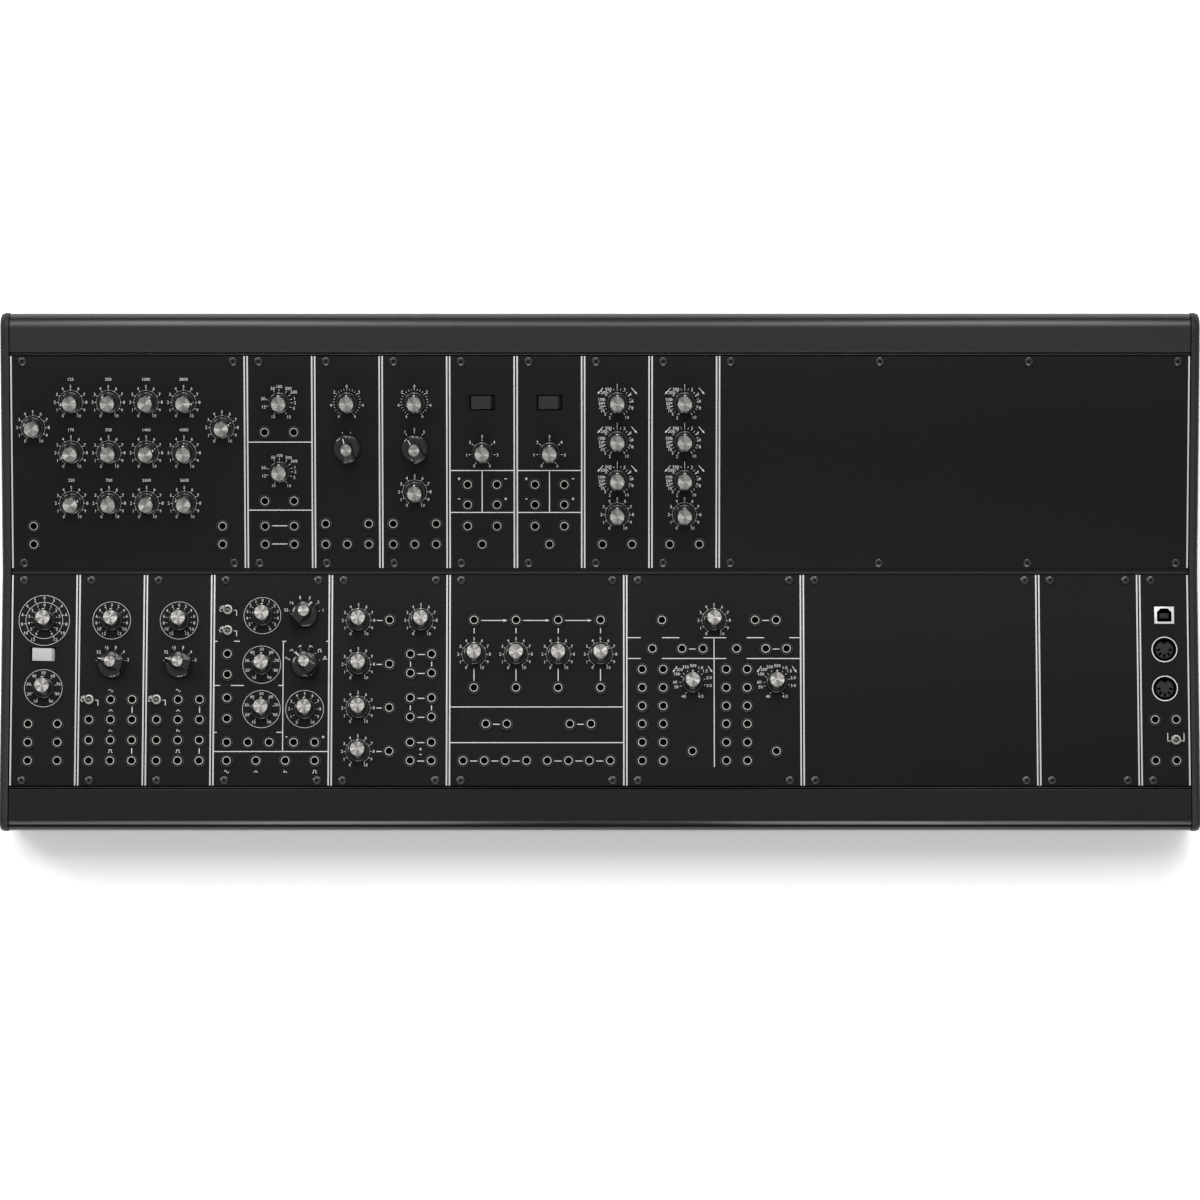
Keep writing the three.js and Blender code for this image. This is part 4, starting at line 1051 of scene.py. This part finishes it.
class Printer:
    """Collects the printed marks of one panel."""

    def __init__(self, width, sizes):
        self.width = width
        self.sizes = sizes
        self.stamps = []

    def spot(self, share, height):
        return share * self.width, height * PANEL_HEIGHT

    def bar(self, start, stop, width):
        (x0, y0), (x1, y1) = start, stop
        reach = math.hypot(x1 - x0, y1 - y0)
        slant = math.degrees(math.atan2(y1 - y0, x1 - x0))
        stretch = Matrix.Diagonal((reach, width, self.sizes.ink_thickness, 1))
        self.stamps.append((master(ink_bar), shift(x0, y0) @ turn(slant) @ stretch))

    def path(self, x, y, points, width):
        """Bars from point to point, which lap over a little at each corner."""
        for (x0, y0), (x1, y1) in zip(points, points[1:]):
            lap = LAP * width / 2 / math.hypot(x1 - x0, y1 - y0)
            dx, dy = (x1 - x0) * lap, (y1 - y0) * lap
            self.bar((x + x0 - dx, y + y0 - dy), (x + x1 + dx, y + y1 + dy), width)

    def head(self, place):
        self.stamps.append((master(arrow_head, self.sizes.ink_thickness), place))

    def arc(self, x, y, radius, width, start=-180, stop=180):
        shape = master(ink_arc, radius, width, start, stop, self.sizes.ink_thickness)
        self.stamps.append((shape, shift(x, y)))

    def text(self, x, y, text):
        if text == "-":
            self.bar((x - DASH_REACH, y), (x + DASH_REACH, y), SIGN_WIDTH)
        elif text == "+":
            self.bar((x - SIGN_REACH, y), (x + SIGN_REACH, y), SIGN_WIDTH)
            self.bar((x, y - SIGN_REACH), (x, y + SIGN_REACH), SIGN_WIDTH)
        else:
            shape = master(ink_text, text, self.sizes.numeral_height, self.sizes.ink_thickness)
            self.stamps.append((shape, shift(x, y)))

    def wave(self, x, y, shape):
        self.path(x, y, [(WAVE_SCALE * right, WAVE_SCALE * up) for right, up in WAVES[shape]], WAVE_WIDTH)

    def ray(self, x, y, degrees, near, far, width):
        right, up = math.sin(math.radians(degrees)), math.cos(math.radians(degrees))
        self.bar((x + near * right, y + near * up), (x + far * right, y + far * up), width)

    def dial(self, x, y, rule):
        tick = self.sizes.tick_width
        for degrees, text, *own in rule["numbers"] + rule.get("symbols", []):
            if text != "-":
                reach, angle = own[0] if own else rule["at"], math.radians(degrees)
                write = self.wave if text in WAVES else self.text
                write(x + reach * math.sin(angle), y + reach * math.cos(angle), text)
        for degrees, *_ in rule["numbers"]:
            self.ray(x, y, degrees, *rule["ticks"], tick)
        if "fine" in rule:
            for degrees, _ in evenly("- " * rule["fine"]):
                self.ray(x, y, degrees, *rule["fine_ticks"], tick * FINE_SHARE)
        if "long" in rule:
            self.ray(x, y, 0, *rule["long"], tick)
        if "arc" in rule:
            self.arc(x, y, rule["arc"], tick * ARC_SHARE, -SCALE_END, SCALE_END)
        if "slants" in rule:
            self.slants(x, y, *rule["slants"])
        if "ring" in rule:
            self.arc(x, y, rule["ring"], self.sizes.ring_width)

    def slants(self, x, y, near, high, far, low):
        """Arrows that slope down from above a dial to the two halves of its scale."""
        slope = math.atan2(low - high, far - near)
        end_x, end_y = far - SLANT_BACK * math.cos(slope), low - SLANT_BACK * math.sin(slope)
        for side in (-1, 1):
            self.bar((x + side * near, y + high), (x + side * end_x, y + end_y), SLANT_WIDTH)
            aim = math.degrees(math.atan2(low - high, side * (far - near)))
            self.head(shift(x + side * far, y + low) @ turn(aim) @ Matrix.Scale(SLANT_HEAD, 4))

    def panel(self, spec):
        """Prints all that one panel carries."""
        sizes, spot = self.sizes, self.spot
        margin = sizes.strip_from + sizes.strip_width
        for share, height, scale, _ in spec.get("dials", []) + spec.get("selectors", []):
            self.dial(*spot(share, height), SCALES[scale])
        for height, start, stop in spec.get("rules", []):
            first, last = max(start * self.width, margin), min(stop * self.width, self.width - margin)
            self.bar((first, height * PANEL_HEIGHT), (last, height * PANEL_HEIGHT), sizes.line_width)
        for key, width in (("walls", sizes.line_width), ("upright", UPRIGHT_WIDTH)):
            for share, top, bottom in spec.get(key, []):
                self.bar(spot(share, bottom), spot(share, top), width)
        for key, (near, far) in GAPS.items():
            for left, right, height in spec.get(key, []):
                (x0, y), (x1, _) = spot(left, height), spot(right, height)
                self.bar((x0 + near, y), (x1 - far, y), LINK_WIDTH)
                if key == "arrows":
                    self.head(shift(x1 - ARROW_BACK, y))
        for key, write in (("headings", self.text), ("signs", self.text), ("symbols", self.wave)):
            for share, height, text in spec.get(key, []):
                write(*spot(share, height), text)
        for share, height, kind in spec.get("hooks", []):
            for points in HOOKS[kind]:
                self.path(*spot(share, height), points, HOOK_WIDTH)


class SYNTH_OT_printing(bpy.types.Operator):
    """Prints the dials, numerals and lines on the panels"""
    bl_idname = "synth.printing"
    bl_label = "Printing"

    def execute(self, context):
        sizes = sizes_of("panels")
        for name, spec, place, width in panels():
            pen = Printer(width, sizes)
            pen.panel(spec)
            if pen.stamps:
                made = gathered(name + "_marks", pen.stamps)
                made.data.transform(place)
                finished(made, name + "_print", "case", "panel_coat")
        return {"FINISHED"}


# Sockets, screws and other fittings
QUARTER = [(0.34, 1.3), (0.34, 0.6), (0.6, 0.34), (1.3, 0.34)]
CROSS = [(x * right + y * up, y * right - x * up)
         for right, up in ((1, 0), (0, 1), (-1, 0), (0, -1)) for x, y in QUARTER]
MOUTH = [(-4.4, -4), (4.4, -4), (4.4, 1.9), (2.2, 4.1), (-2.2, 4.1), (-4.4, 1.9)]
SHELL = [(-6, -5.25), (6, -5.25), (6, 5.25), (-6, 5.25)]
SCREW_INSET, SCREW_SIDE, SCREW_TURN = 3.2, 7.5, 37


def patch_socket():
    """Blackened nut, bright bush and a deep bore."""
    sizes = sizes_of("sockets")
    nut, ring, bore, top = sizes.nut_radius, sizes.ring_radius, sizes.bore_radius, sizes.top
    nut_top = sizes.nut_height
    # The step between nut and bush and the walls of the bore get the near-black nylon finish: painted shade
    # in these hollows
    return turned("patch_socket", [
        (3.3, -9, 2), (3.3, 0.02, 2), (nut, 0.02, 0), (nut, nut_top - 0.35, 0), (nut - 0.25, nut_top, 0),
        (nut - 0.4, nut_top, 0), (nut - 0.52, nut_top - 0.15, 2), (ring + 0.05, nut_top - 0.15, 2),
        (ring, top - 0.2, 1), (ring - 0.12, top, 1), (ring - 0.55, top, 1), (ring - 0.63, top - 0.3, 2),
        (bore, top - 0.45, 2), (bore, 0.9, 2), (bore - 0.05, -6.5, 2),
    ], 20, ("black_oxide", "nickel_plating", "black_nylon"), degrees=32)


def panel_screw():
    """Pan head with a cross recess."""
    made = turned("panel_screw", [
        (1.4, -4, 0), (1.4, 0.02, 0), (2.75, 0.02, 0), (2.75, 0.35, 0), (2.5, 0.85, 0), (1.85, 1.15, 0),
        (0.9, 1.25, 0), (0.1, 1.25, 0),
    ], 20, ("black_zinc_screw", "black_nylon"))
    cut_out(made, outlined("cross_cut", CROSS, 0.35, 2))
    # The faces inside the cross recess get the near-black nylon finish: painted shade in the recess
    refinished(made, 1, lambda centre: 0.2 < centre.z < 1.1 and centre.xy.length < 1.35)
    smooth(made, 35)
    return made


def screw_places(width, count):
    """Screws at the left corners, at all four, or at equal spaces along both edges of the widest panel."""
    columns = count // 2
    pace = (width - 2 * SCREW_SIDE) / max(columns - 1, 1)
    return [(SCREW_SIDE + column * pace, y) for column in range(columns)
            for y in (SCREW_INSET, PANEL_HEIGHT - SCREW_INSET)]


def round_socket():
    """Bright ring, a groove for the plug's shell and an insert with five slots and a key."""
    finishes = ("tin_plated_shell", "black_nylon", "glass_filled_nylon")
    # The inner wall of the shell gets the near-black nylon finish: painted shade in the groove
    shell = turned("round_shell", [
        (7.1, -9, 1), (7.1, 0.02, 1), (7.85, 0.02, 0), (7.85, 0.8, 0), (7.7, 1, 0), (7.2, 1, 0),
        (7.1, 0.8, 1), (6.7, 0.4, 1), (6.7, -7.5, 1),
    ], 56, finishes)
    insert = turned("round_insert", [(5.4, -7.4, 2), (5.4, -0.8, 2), (5.2, -0.6, 2)], 48, finishes)
    slot = master(block, "slot_cut", (-0.65, 2.5, -4), (0.65, 4.9, 1))
    key = master(block, "key_cut", (-1.5, 3.9, -4), (1.5, 6, 1))
    cutters = [(slot, turn(-degrees)) for degrees in (90, 135, 180, 225, 270)]
    cut_out(insert, gathered("insert_cuts", [*cutters, (key, Matrix.Identity(4))]))
    # The floors of the slots get the near-black nylon finish: painted shade in the slots
    refinished(insert, 1, lambda centre: centre.z < -0.9 and centre.xy.length < 5.3)
    made = joined("round_socket", shell, insert)
    smooth(made, 32)
    return made


def data_socket():
    """Tinned shell with a black mouth whose upper corners are cut, and the contact tongue in it."""
    shell = painted(outlined("data_shell", SHELL, 0.02, 1, 0.25), "tin_plated_shell")
    sleeve = painted(block("data_sleeve", (-5.6, -4.9, -12), (5.6, 4.9, 0.3)), "black_nylon")
    for part in (shell, sleeve):
        cut_out(part, outlined("mouth_cut", MOUTH, -9, 3))
    tongue = painted(block("data_tongue", (-2.8, -1.6, -9.2), (2.8, 1.6, -1.2), 0.3), "glass_filled_nylon")
    made = joined("data_socket", shell, sleeve, tongue)
    smooth(made, 32)
    return made


def toggle_bush():
    """Flat nut and threaded bush of a toggle switch, bored for the lever."""
    # The bore below its rim gets the near-black nylon finish: painted shade in the bore
    return turned("toggle_bush", [
        (2.4, -9, 1), (2.4, 0.02, 1), (2.88, 0.02, 0), (2.88, 3, 0), (2.78, 3.3, 0), (2.55, 3.4, 0),
        (1.9, 3.4, 0), (1.8, 3.2, 0), (1.9, 1.6, 0), (2, -3, 1),
    ], 24, ("nickel_plating", "black_nylon"), degrees=32)


def rocker_well():
    """Black well that the rocker tips in."""
    made = painted(block("rocker_well", (-8.7, -5.6, -8.6), (8.7, 5.6, UNDER_PANEL)),
                   "black_rocker_plastic")
    with editing(made) as mesh:
        select_where(made, "FACE", lambda face: face.normal.z > UPWARD)
        mesh.inset(thickness=0.95)
        mesh.extrude_region_move(TRANSFORM_OT_translate=moved(z=-5.7))
    close_up(made)
    return made


class SYNTH_OT_fittings(bpy.types.Operator):
    """Sets the patch sockets, screws, toggle bushes, rocker wells and connectors into the panels"""
    bl_idname = "synth.fittings"
    bl_label = "Sockets and screws"

    def execute(self, context):
        kinds = (("sockets", master(patch_socket)), ("toggles", master(toggle_bush)),
                 ("rockers", master(rocker_well)))
        screws = {"upper": [], "lower": []}
        for name, spec, place, width in panels():
            stamps = placed(spec, width, kinds, place)
            if stamps:
                finished(gathered(name + "_set", stamps), name + "_sockets", "case", "lever_plating")
            for number, (x, y) in enumerate(screw_places(width, spec.get("screws", 2))):
                spot = place @ shift(x, y) @ turn(SCREW_TURN * number)
                screws[spec["row"]].append((master(panel_screw), spot))
        for row, stamps in screws.items():
            finished(gathered(row + "_set", stamps), row + "_row_screws", "case", "lever_plating")
        spec = MODULES["converter_module"]
        place, width = panel_frame("converter_module", spec["row"])
        for key, make, name in (("rounds", round_socket, "round_sockets"),
                                ("data", data_socket, "data_socket_shell")):
            stamps = placed(spec, width, [(key, master(make))], place)
            finished(gathered(name + "_set", stamps), name, "case", "lever_plating")
        return {"FINISHED"}


# Knobs
WING_SIDE = [(0.9, 7.6), (1.4, 5.6), (2.4, 3.8), (3.7, 2.2), (3.9, 0.4), (3.6, -1.6), (3.4, -3.4),
             (3.7, -5.4), (4.3, -7.2), (2.2, -7.6)]
WING = [*WING_SIDE, (0, -7.7), *((-x, y) for x, y in reversed(WING_SIDE))]
KNOB_FINISHES = ("moulded_abs_knob", "spun_aluminium_cap")


def small_knob():
    """Skirt, fluted body, spun cap and painted pointer. It points along +Y."""
    sizes = sizes_of("knobs")
    skirt, body, neck, cap = sizes.skirt_radius, sizes.body_radius, sizes.body_top_radius, sizes.cap_radius
    foot, top = sizes.skirt_top, sizes.top
    made = turned("small_knob", [
        (skirt, sizes.clearance, 0), (skirt, foot - 0.7, 0), (skirt - 0.2, foot - 0.2, 0),
        (skirt - 0.5, foot, 0), (body + 0.15, foot + 0.1, 0), (body, foot + 0.4, 0), (neck, top - 0.9, 0),
        (neck - 0.06, top - 0.62, 0), (neck - 0.2, top - 0.46, 0), (cap + 0.06, top - 0.28, 0),
        (cap, top - 0.3, 1), (cap, top - 0.12, 1), (cap - 0.12, top, 1), (cap * 0.66, top, 1),
        (cap * 0.33, top, 1), (0.12, top, 1),
    ], 48, KNOB_FINISHES, (foot + 0.3, top - 0.7, sizes.rib, neck), degrees=30)
    spin_map(made)
    dot = block("dot", (-0.55, neck - 0.15, top - 1.9), (0.55, neck + 0.45, top - 0.75), 0.08)
    dash = block("dash", (-0.15, body + 0.3, foot + 0.02), (0.15, skirt - 0.25, foot + 0.12))
    return joined("small_knob_whole", made, painted(dot, "pointer_paint"), painted(dash, "pointer_paint"))


def shaft():
    """The part of a knob that reaches through the panel."""
    return turned("shaft", [(2.9, -7, 0), (3, -6.8, 0), (3, 0.7, 0)], 20, KNOB_FINISHES[:1],
                  degrees=30)


def selector_knob():
    """Domed skirt, wing with a flared tail, spun cap and a painted line. It points along +Y."""
    sizes = sizes_of("knobs")
    radius, cap_radius = sizes.selector_radius, sizes.selector_cap_radius
    high, top = sizes.wing_top, sizes.selector_top
    skirt = turned("selector_skirt", [
        (radius, sizes.clearance, 0), (radius, 1.7, 0), (radius - 0.15, 2.1, 0), (radius - 0.45, 2.45, 0),
        (radius - 1, 2.8, 0), (radius - 1.9, 3.16, 0), (radius - 2.8, 3.38, 0), (radius - 3.8, 3.45, 0),
        (0.5, 3.45, 0),
    ], 56, KNOB_FINISHES, degrees=35)
    spin_map(skirt)
    wing = painted(outlined("selector_wing", WING, 2.6, high, 0.7), KNOB_FINISHES[0])
    smooth(wing, 40)
    cap = turned("selector_cap", [
        (cap_radius + 0.35, high - 0.4, 0), (cap_radius + 0.3, top - 0.6, 0),
        (cap_radius + 0.05, top - 0.5, 0), (cap_radius, top - 0.4, 1), (cap_radius - 0.05, top - 0.1, 1),
        (cap_radius - 0.2, top, 1), (cap_radius * 0.5, top, 1), (0.12, top, 1),
    ], 40, KNOB_FINISHES, degrees=30)
    spin_map(cap)
    line = block("selector_line", (-0.2, cap_radius + 0.6, high - 0.1), (0.2, 7.3, high + 0.05))
    return joined("selector_whole", skirt, wing, cap, painted(line, "pointer_paint"))


def on_joint(name, pose, slot, *makers):
    """A turning piece on its joint, in the given pose, from one or more masters."""
    spot = Matrix.Translation(JOINTS[name]["pos_m"]) @ pose @ TO_METRES
    made = gathered(name + "_set", [(master(*maker), spot) for maker in makers])
    finished(made, name + "_dressed", name, slot, name)


class SYNTH_OT_knobs(bpy.types.Operator):
    """Makes the small knobs, turning and fixed, and the selectors"""
    bl_idname = "synth.knobs"
    bl_label = "Knobs"

    def execute(self, context):
        for name, spec, place, width in panels():
            tilt = Matrix.Rotation(row_place(spec["row"])[0], 4, "X")
            fixed = []
            for share, height, _, knob in spec.get("dials", []):
                if isinstance(knob, str):
                    self.turning(knob, tilt, small_knob)
                elif knob is not None:
                    spot = place @ shift(share * width, height * PANEL_HEIGHT) @ turn(-knob)
                    fixed += [(master(small_knob), spot), (master(shaft), spot)]
            if fixed:
                finished(gathered(name + "_set", fixed), name + "_knobs", "case", "knob_black")
            for *_, knob in spec.get("selectors", []):
                self.turning(knob, tilt, selector_knob)
        return {"FINISHED"}

    def turning(self, name, tilt, shape):
        on_joint(name, tilt @ turn(-POINTERS.get(name, 0)), "knob_black", (shape,), (shaft,))


# Switches
TOGGLE_LEAN, ROCKER_LEAN = turn(-14, "Y"), turn(10, "Y")


def rocker_paddle(paint):
    """Paddle with a shallow hollow across its middle and a long slope at its right end."""
    made = painted(block("rocker_paddle", (-6.9, -3.95, -3), (7.3, 3.95, 1.6)), paint)
    drops = ((lambda x: abs(x) < DOUBLED, -0.7), (lambda x: x > 6, -2.2), (lambda x: x < -6.6, -0.5))
    with editing(made) as mesh:
        sliced((-6.3, 0, 4.9))
        for reach, drop in drops:
            select_where(made, "VERT", lambda v: v.co.z > 0 and reach(v.co.x))
            bpy.ops.transform.translate(value=(0, 0, drop))
        select_where(made, "VERT", lambda v: v.co.z < -2)
        widened(0.88, share_y=1)
        select_where(made, "EDGE", lambda edge: edge.calc_face_angle(0) > math.radians(30))
        mesh.bevel(offset=0.35, segments=3, affect="EDGES")
    smooth(made, 30)
    return made


def toggle_lever():
    """Ball, thin stem and rounded tip."""
    return turned("toggle_lever", [
        (0.35, -1.65, 0), (1.1, -1.25, 0), (1.6, 0, 0), (1.35, 1, 0), (0.85, 1.8, 0), (0.75, 3.5, 0),
        (0.75, 5, 0), (1, 8, 0), (1.25, 9.8, 0), (1.25, 10.4, 0), (1, 11.1, 0), (0.5, 11.5, 0),
        (0.12, 11.6, 0),
    ], 20, ("nickel_plating",), degrees=40)


class SYNTH_OT_switches(bpy.types.Operator):
    """Makes the rockers, the toggle levers and the power switch"""
    bl_idname = "synth.switches"
    bl_label = "Switches"

    def execute(self, context):
        for spec in MODULES.values():
            tilt = Matrix.Rotation(row_place(spec["row"])[0], 4, "X")
            for *_, name in spec.get("rockers", []):
                shade = "white" if name == "driver_rocker" else "black"
                paint = shade + "_rocker_plastic"
                on_joint(name, tilt @ ROCKER_LEAN, "rocker_" + shade, (rocker_paddle, paint))
            for *_, name in spec.get("toggles", []):
                on_joint(name, tilt @ TOGGLE_LEAN, "lever_plating", (toggle_lever,))
        on_joint("power_switch", turn(-90, "X") @ ROCKER_LEAN, "rocker_black",
                 (rocker_paddle, "black_rocker_plastic"))
        return {"FINISHED"}


# Boards behind the panels
BODY_LOW = -BOARD_DEPTH - 0.2
BODY_HIGH = -PANEL_THICKNESS - 0.1
BOARD_LOW = -BOARD_DEPTH - BOARD_THICKNESS
BOARD_SIDE, BOARD_END = 2, 10.5


def board_piece(low, high, paint):
    return painted(block("board_piece", low, high, 0.3, 1), paint)


class SYNTH_OT_boards(bpy.types.Operator):
    """Makes the circuit boards behind the panels, with their headers and control bodies"""
    bl_idname = "synth.boards"
    bl_label = "Circuit boards"

    def execute(self, context):
        jack, pot = (master(board_piece, (-half, -half, BODY_LOW), (half, half, BODY_HIGH), paint)
                     for half, paint in ((4.4, "black_nylon"), (5.1, "nickel_plating")))
        header = master(board_piece, (-12, -4.5, BOARD_LOW - 9), (12, 4.5, BOARD_LOW + 0.2),
                        "black_nylon")
        bodies = (("sockets", jack), ("toggles", jack), ("dials", pot), ("selectors", pot))
        rows = {"upper": [], "lower": []}
        for name, spec, place, width in panels():
            if "sockets" in spec:
                high = (width - BOARD_SIDE, PANEL_HEIGHT - BOARD_END, -BOARD_DEPTH)
                board = master(board_piece, (BOARD_SIDE, BOARD_END, BOARD_LOW), high, "green_solder_mask")
                middle = place @ shift(width / 2, PANEL_HEIGHT / 2)
                rows[spec["row"]] += [(board, place), (header, middle), *placed(spec, width, bodies, place)]
        for row, stamps in rows.items():
            finished(gathered(row + "_set", stamps), row + "_row_boards", "case", "circuit_board")
        return {"FINISHED"}


# Stage
AIM = Vector((0, 0, 0.05))
PAPER_WHITE = 1.52
LOW_GLOSS = 0.08


def mixed(tree, share, first, second):
    return node(tree, "MixShader", {0: share, 1: first, 2: second}).outputs["Shader"]


def glow(tree, strength):
    return node(tree, "Background", {"Color": WHITE, "Strength": strength}).outputs["Background"]


def floor_paint(stage):
    """White paper, plain and matt. The camera sees it exposed to pure white."""
    made, tree, shader = shaded("white_paper_floor", stage.floor, Roughness=0.9, Specular_IOR_Level=0.1)
    seen = node(tree, "LightPath").outputs["Is Camera Ray"]
    paper = node(tree, "BsdfDiffuse", {"Color": (PAPER_WHITE, PAPER_WHITE, PAPER_WHITE, 1)})
    output = next(item for item in tree.nodes if item.type == "OUTPUT_MATERIAL")
    surface = mixed(tree, seen, shader.outputs["BSDF"], paper.outputs["BSDF"])
    tree.links.new(surface, output.inputs["Surface"])
    return made


def studio(stage):
    """A world that lights everything evenly, that shiny faces see bright overhead and dim at its edge,
    and that the camera sees white."""
    made = bpy.data.worlds.new("studio")
    made.use_nodes = True
    tree = made.node_tree
    tree.nodes.clear()
    path = node(tree, "LightPath").outputs
    direction = node(tree, "TexCoord").outputs["Generated"]
    height = node(tree, "SeparateXYZ", {"Vector": direction}).outputs["Z"]
    overhead = glow(tree, ranged(tree, height, 0.2, 0.8, LOW_GLOSS, stage.gloss))
    lit = mixed(tree, path["Is Glossy Ray"], glow(tree, stage.world), overhead)
    node(tree, "OutputWorld", {"Surface": mixed(tree, path["Is Camera Ray"], lit, glow(tree, 1))})
    return made


def light(name, place, size, power):
    lamp = bpy.data.lights.new(name, "AREA")
    lamp.shape = "RECTANGLE"
    lamp.size, lamp.size_y = size
    lamp.energy = power
    made = bpy.data.objects.new(name, lamp)
    bpy.context.scene.collection.objects.link(made)
    made.location = place
    made.rotation_euler = (AIM - made.location).to_track_quat("-Z", "Y").to_euler()
    return made


class SYNTH_OT_stage(bpy.types.Operator):
    """Sets the floor, the lights, the world and the camera"""
    bl_idname = "synth.stage"
    bl_label = "Stage"

    def execute(self, context):
        scene, stage = context.scene, context.scene.synth_stage
        deselect_all()
        bpy.ops.mesh.primitive_plane_add(size=12, location=(0, 0, -0.0002))
        floor = context.object
        floor.name = "floor"
        floor.data.materials.append(floor_paint(stage))
        scene.world = studio(stage)
        light("soft_light", (0, 1.2, 2.9), (2.4, 1.6), stage.soft).visible_glossy = False
        # The highlight along each cap swells twice: lights stand in pairs, and the low pairs only add gloss
        for side, x in (("left", -0.42), ("right", 0.42)):
            light(f"back_light_{side}", (x, 1.9, 2.4), (0.4, 1.4), stage.back)
            light(f"front_light_{side}", (x, -2.2, 2.1), (0.4, 1.6), stage.front)
            for end, reach, depth in (("back", 0.64, 0.62), ("front", 0.4, -0.62)):
                low = light(f"low_{end}_light_{side}", (x * reach, depth, 0.5), (0.16, 0.3), stage.low)
                low.visible_diffuse = False
        light("side_light", (-1.9, 1.4, 2.2), (0.8, 0.8), stage.side)
        camera = bpy.data.cameras.new("camera")
        camera.lens = stage.lens
        camera.sensor_width = 36
        camera.clip_end = 50
        eye = bpy.data.objects.new("camera", camera)
        scene.collection.objects.link(eye)
        eye.location = (0, -stage.camera_depth, stage.camera_height)
        scene.camera = eye
        scene.view_settings.view_transform = "Standard"
        return {"FINISHED"}


STEPS = (SYNTH_OT_case, SYNTH_OT_power, SYNTH_OT_panels, SYNTH_OT_printing, SYNTH_OT_fittings,
         SYNTH_OT_knobs, SYNTH_OT_switches, SYNTH_OT_boards, SYNTH_OT_stage)
GROUPS = {
    "synth_panels": SynthPanelSizes,
    "synth_knobs": SynthKnobSizes,
    "synth_sockets": SynthSocketSizes,
    "synth_case": SynthCaseFinish,
    "synth_stage": SynthStage,
}


class SYNTH_PT_dresser(bpy.types.Panel):
    """Lists the steps and the sizes of the synthesizer"""
    bl_idname = "SYNTH_PT_dresser"
    bl_label = "Modular synthesizer"
    bl_space_type = "VIEW_3D"
    bl_region_type = "UI"
    bl_category = "Synth"

    def draw(self, context):
        for step in STEPS:
            self.layout.operator(step.bl_idname)
        for key in GROUPS:
            box = self.layout.box()
            group = getattr(context.scene, key)
            for name in group.bl_rna.properties.keys():
                if name not in OWN_OF_BLENDER:
                    box.prop(group, name)


CLASSES = (*GROUPS.values(), *STEPS, SYNTH_PT_dresser)


def register():
    for group in CLASSES:
        bpy.utils.register_class(group)
    for key, group in GROUPS.items():
        setattr(bpy.types.Scene, key, PointerProperty(type=group))


def unregister():
    for key in GROUPS:
        delattr(bpy.types.Scene, key)
    for group in reversed(CLASSES):
        bpy.utils.unregister_class(group)


def main():
    register()
    deselect_all()
    bpy.ops.synth.case()
    bpy.ops.synth.power()
    bpy.ops.synth.panels()
    bpy.ops.synth.printing()
    bpy.ops.synth.fittings()
    bpy.ops.synth.knobs()
    bpy.ops.synth.switches()
    bpy.ops.synth.boards()
    bpy.ops.synth.stage()


if __name__ == "__main__":
    main()
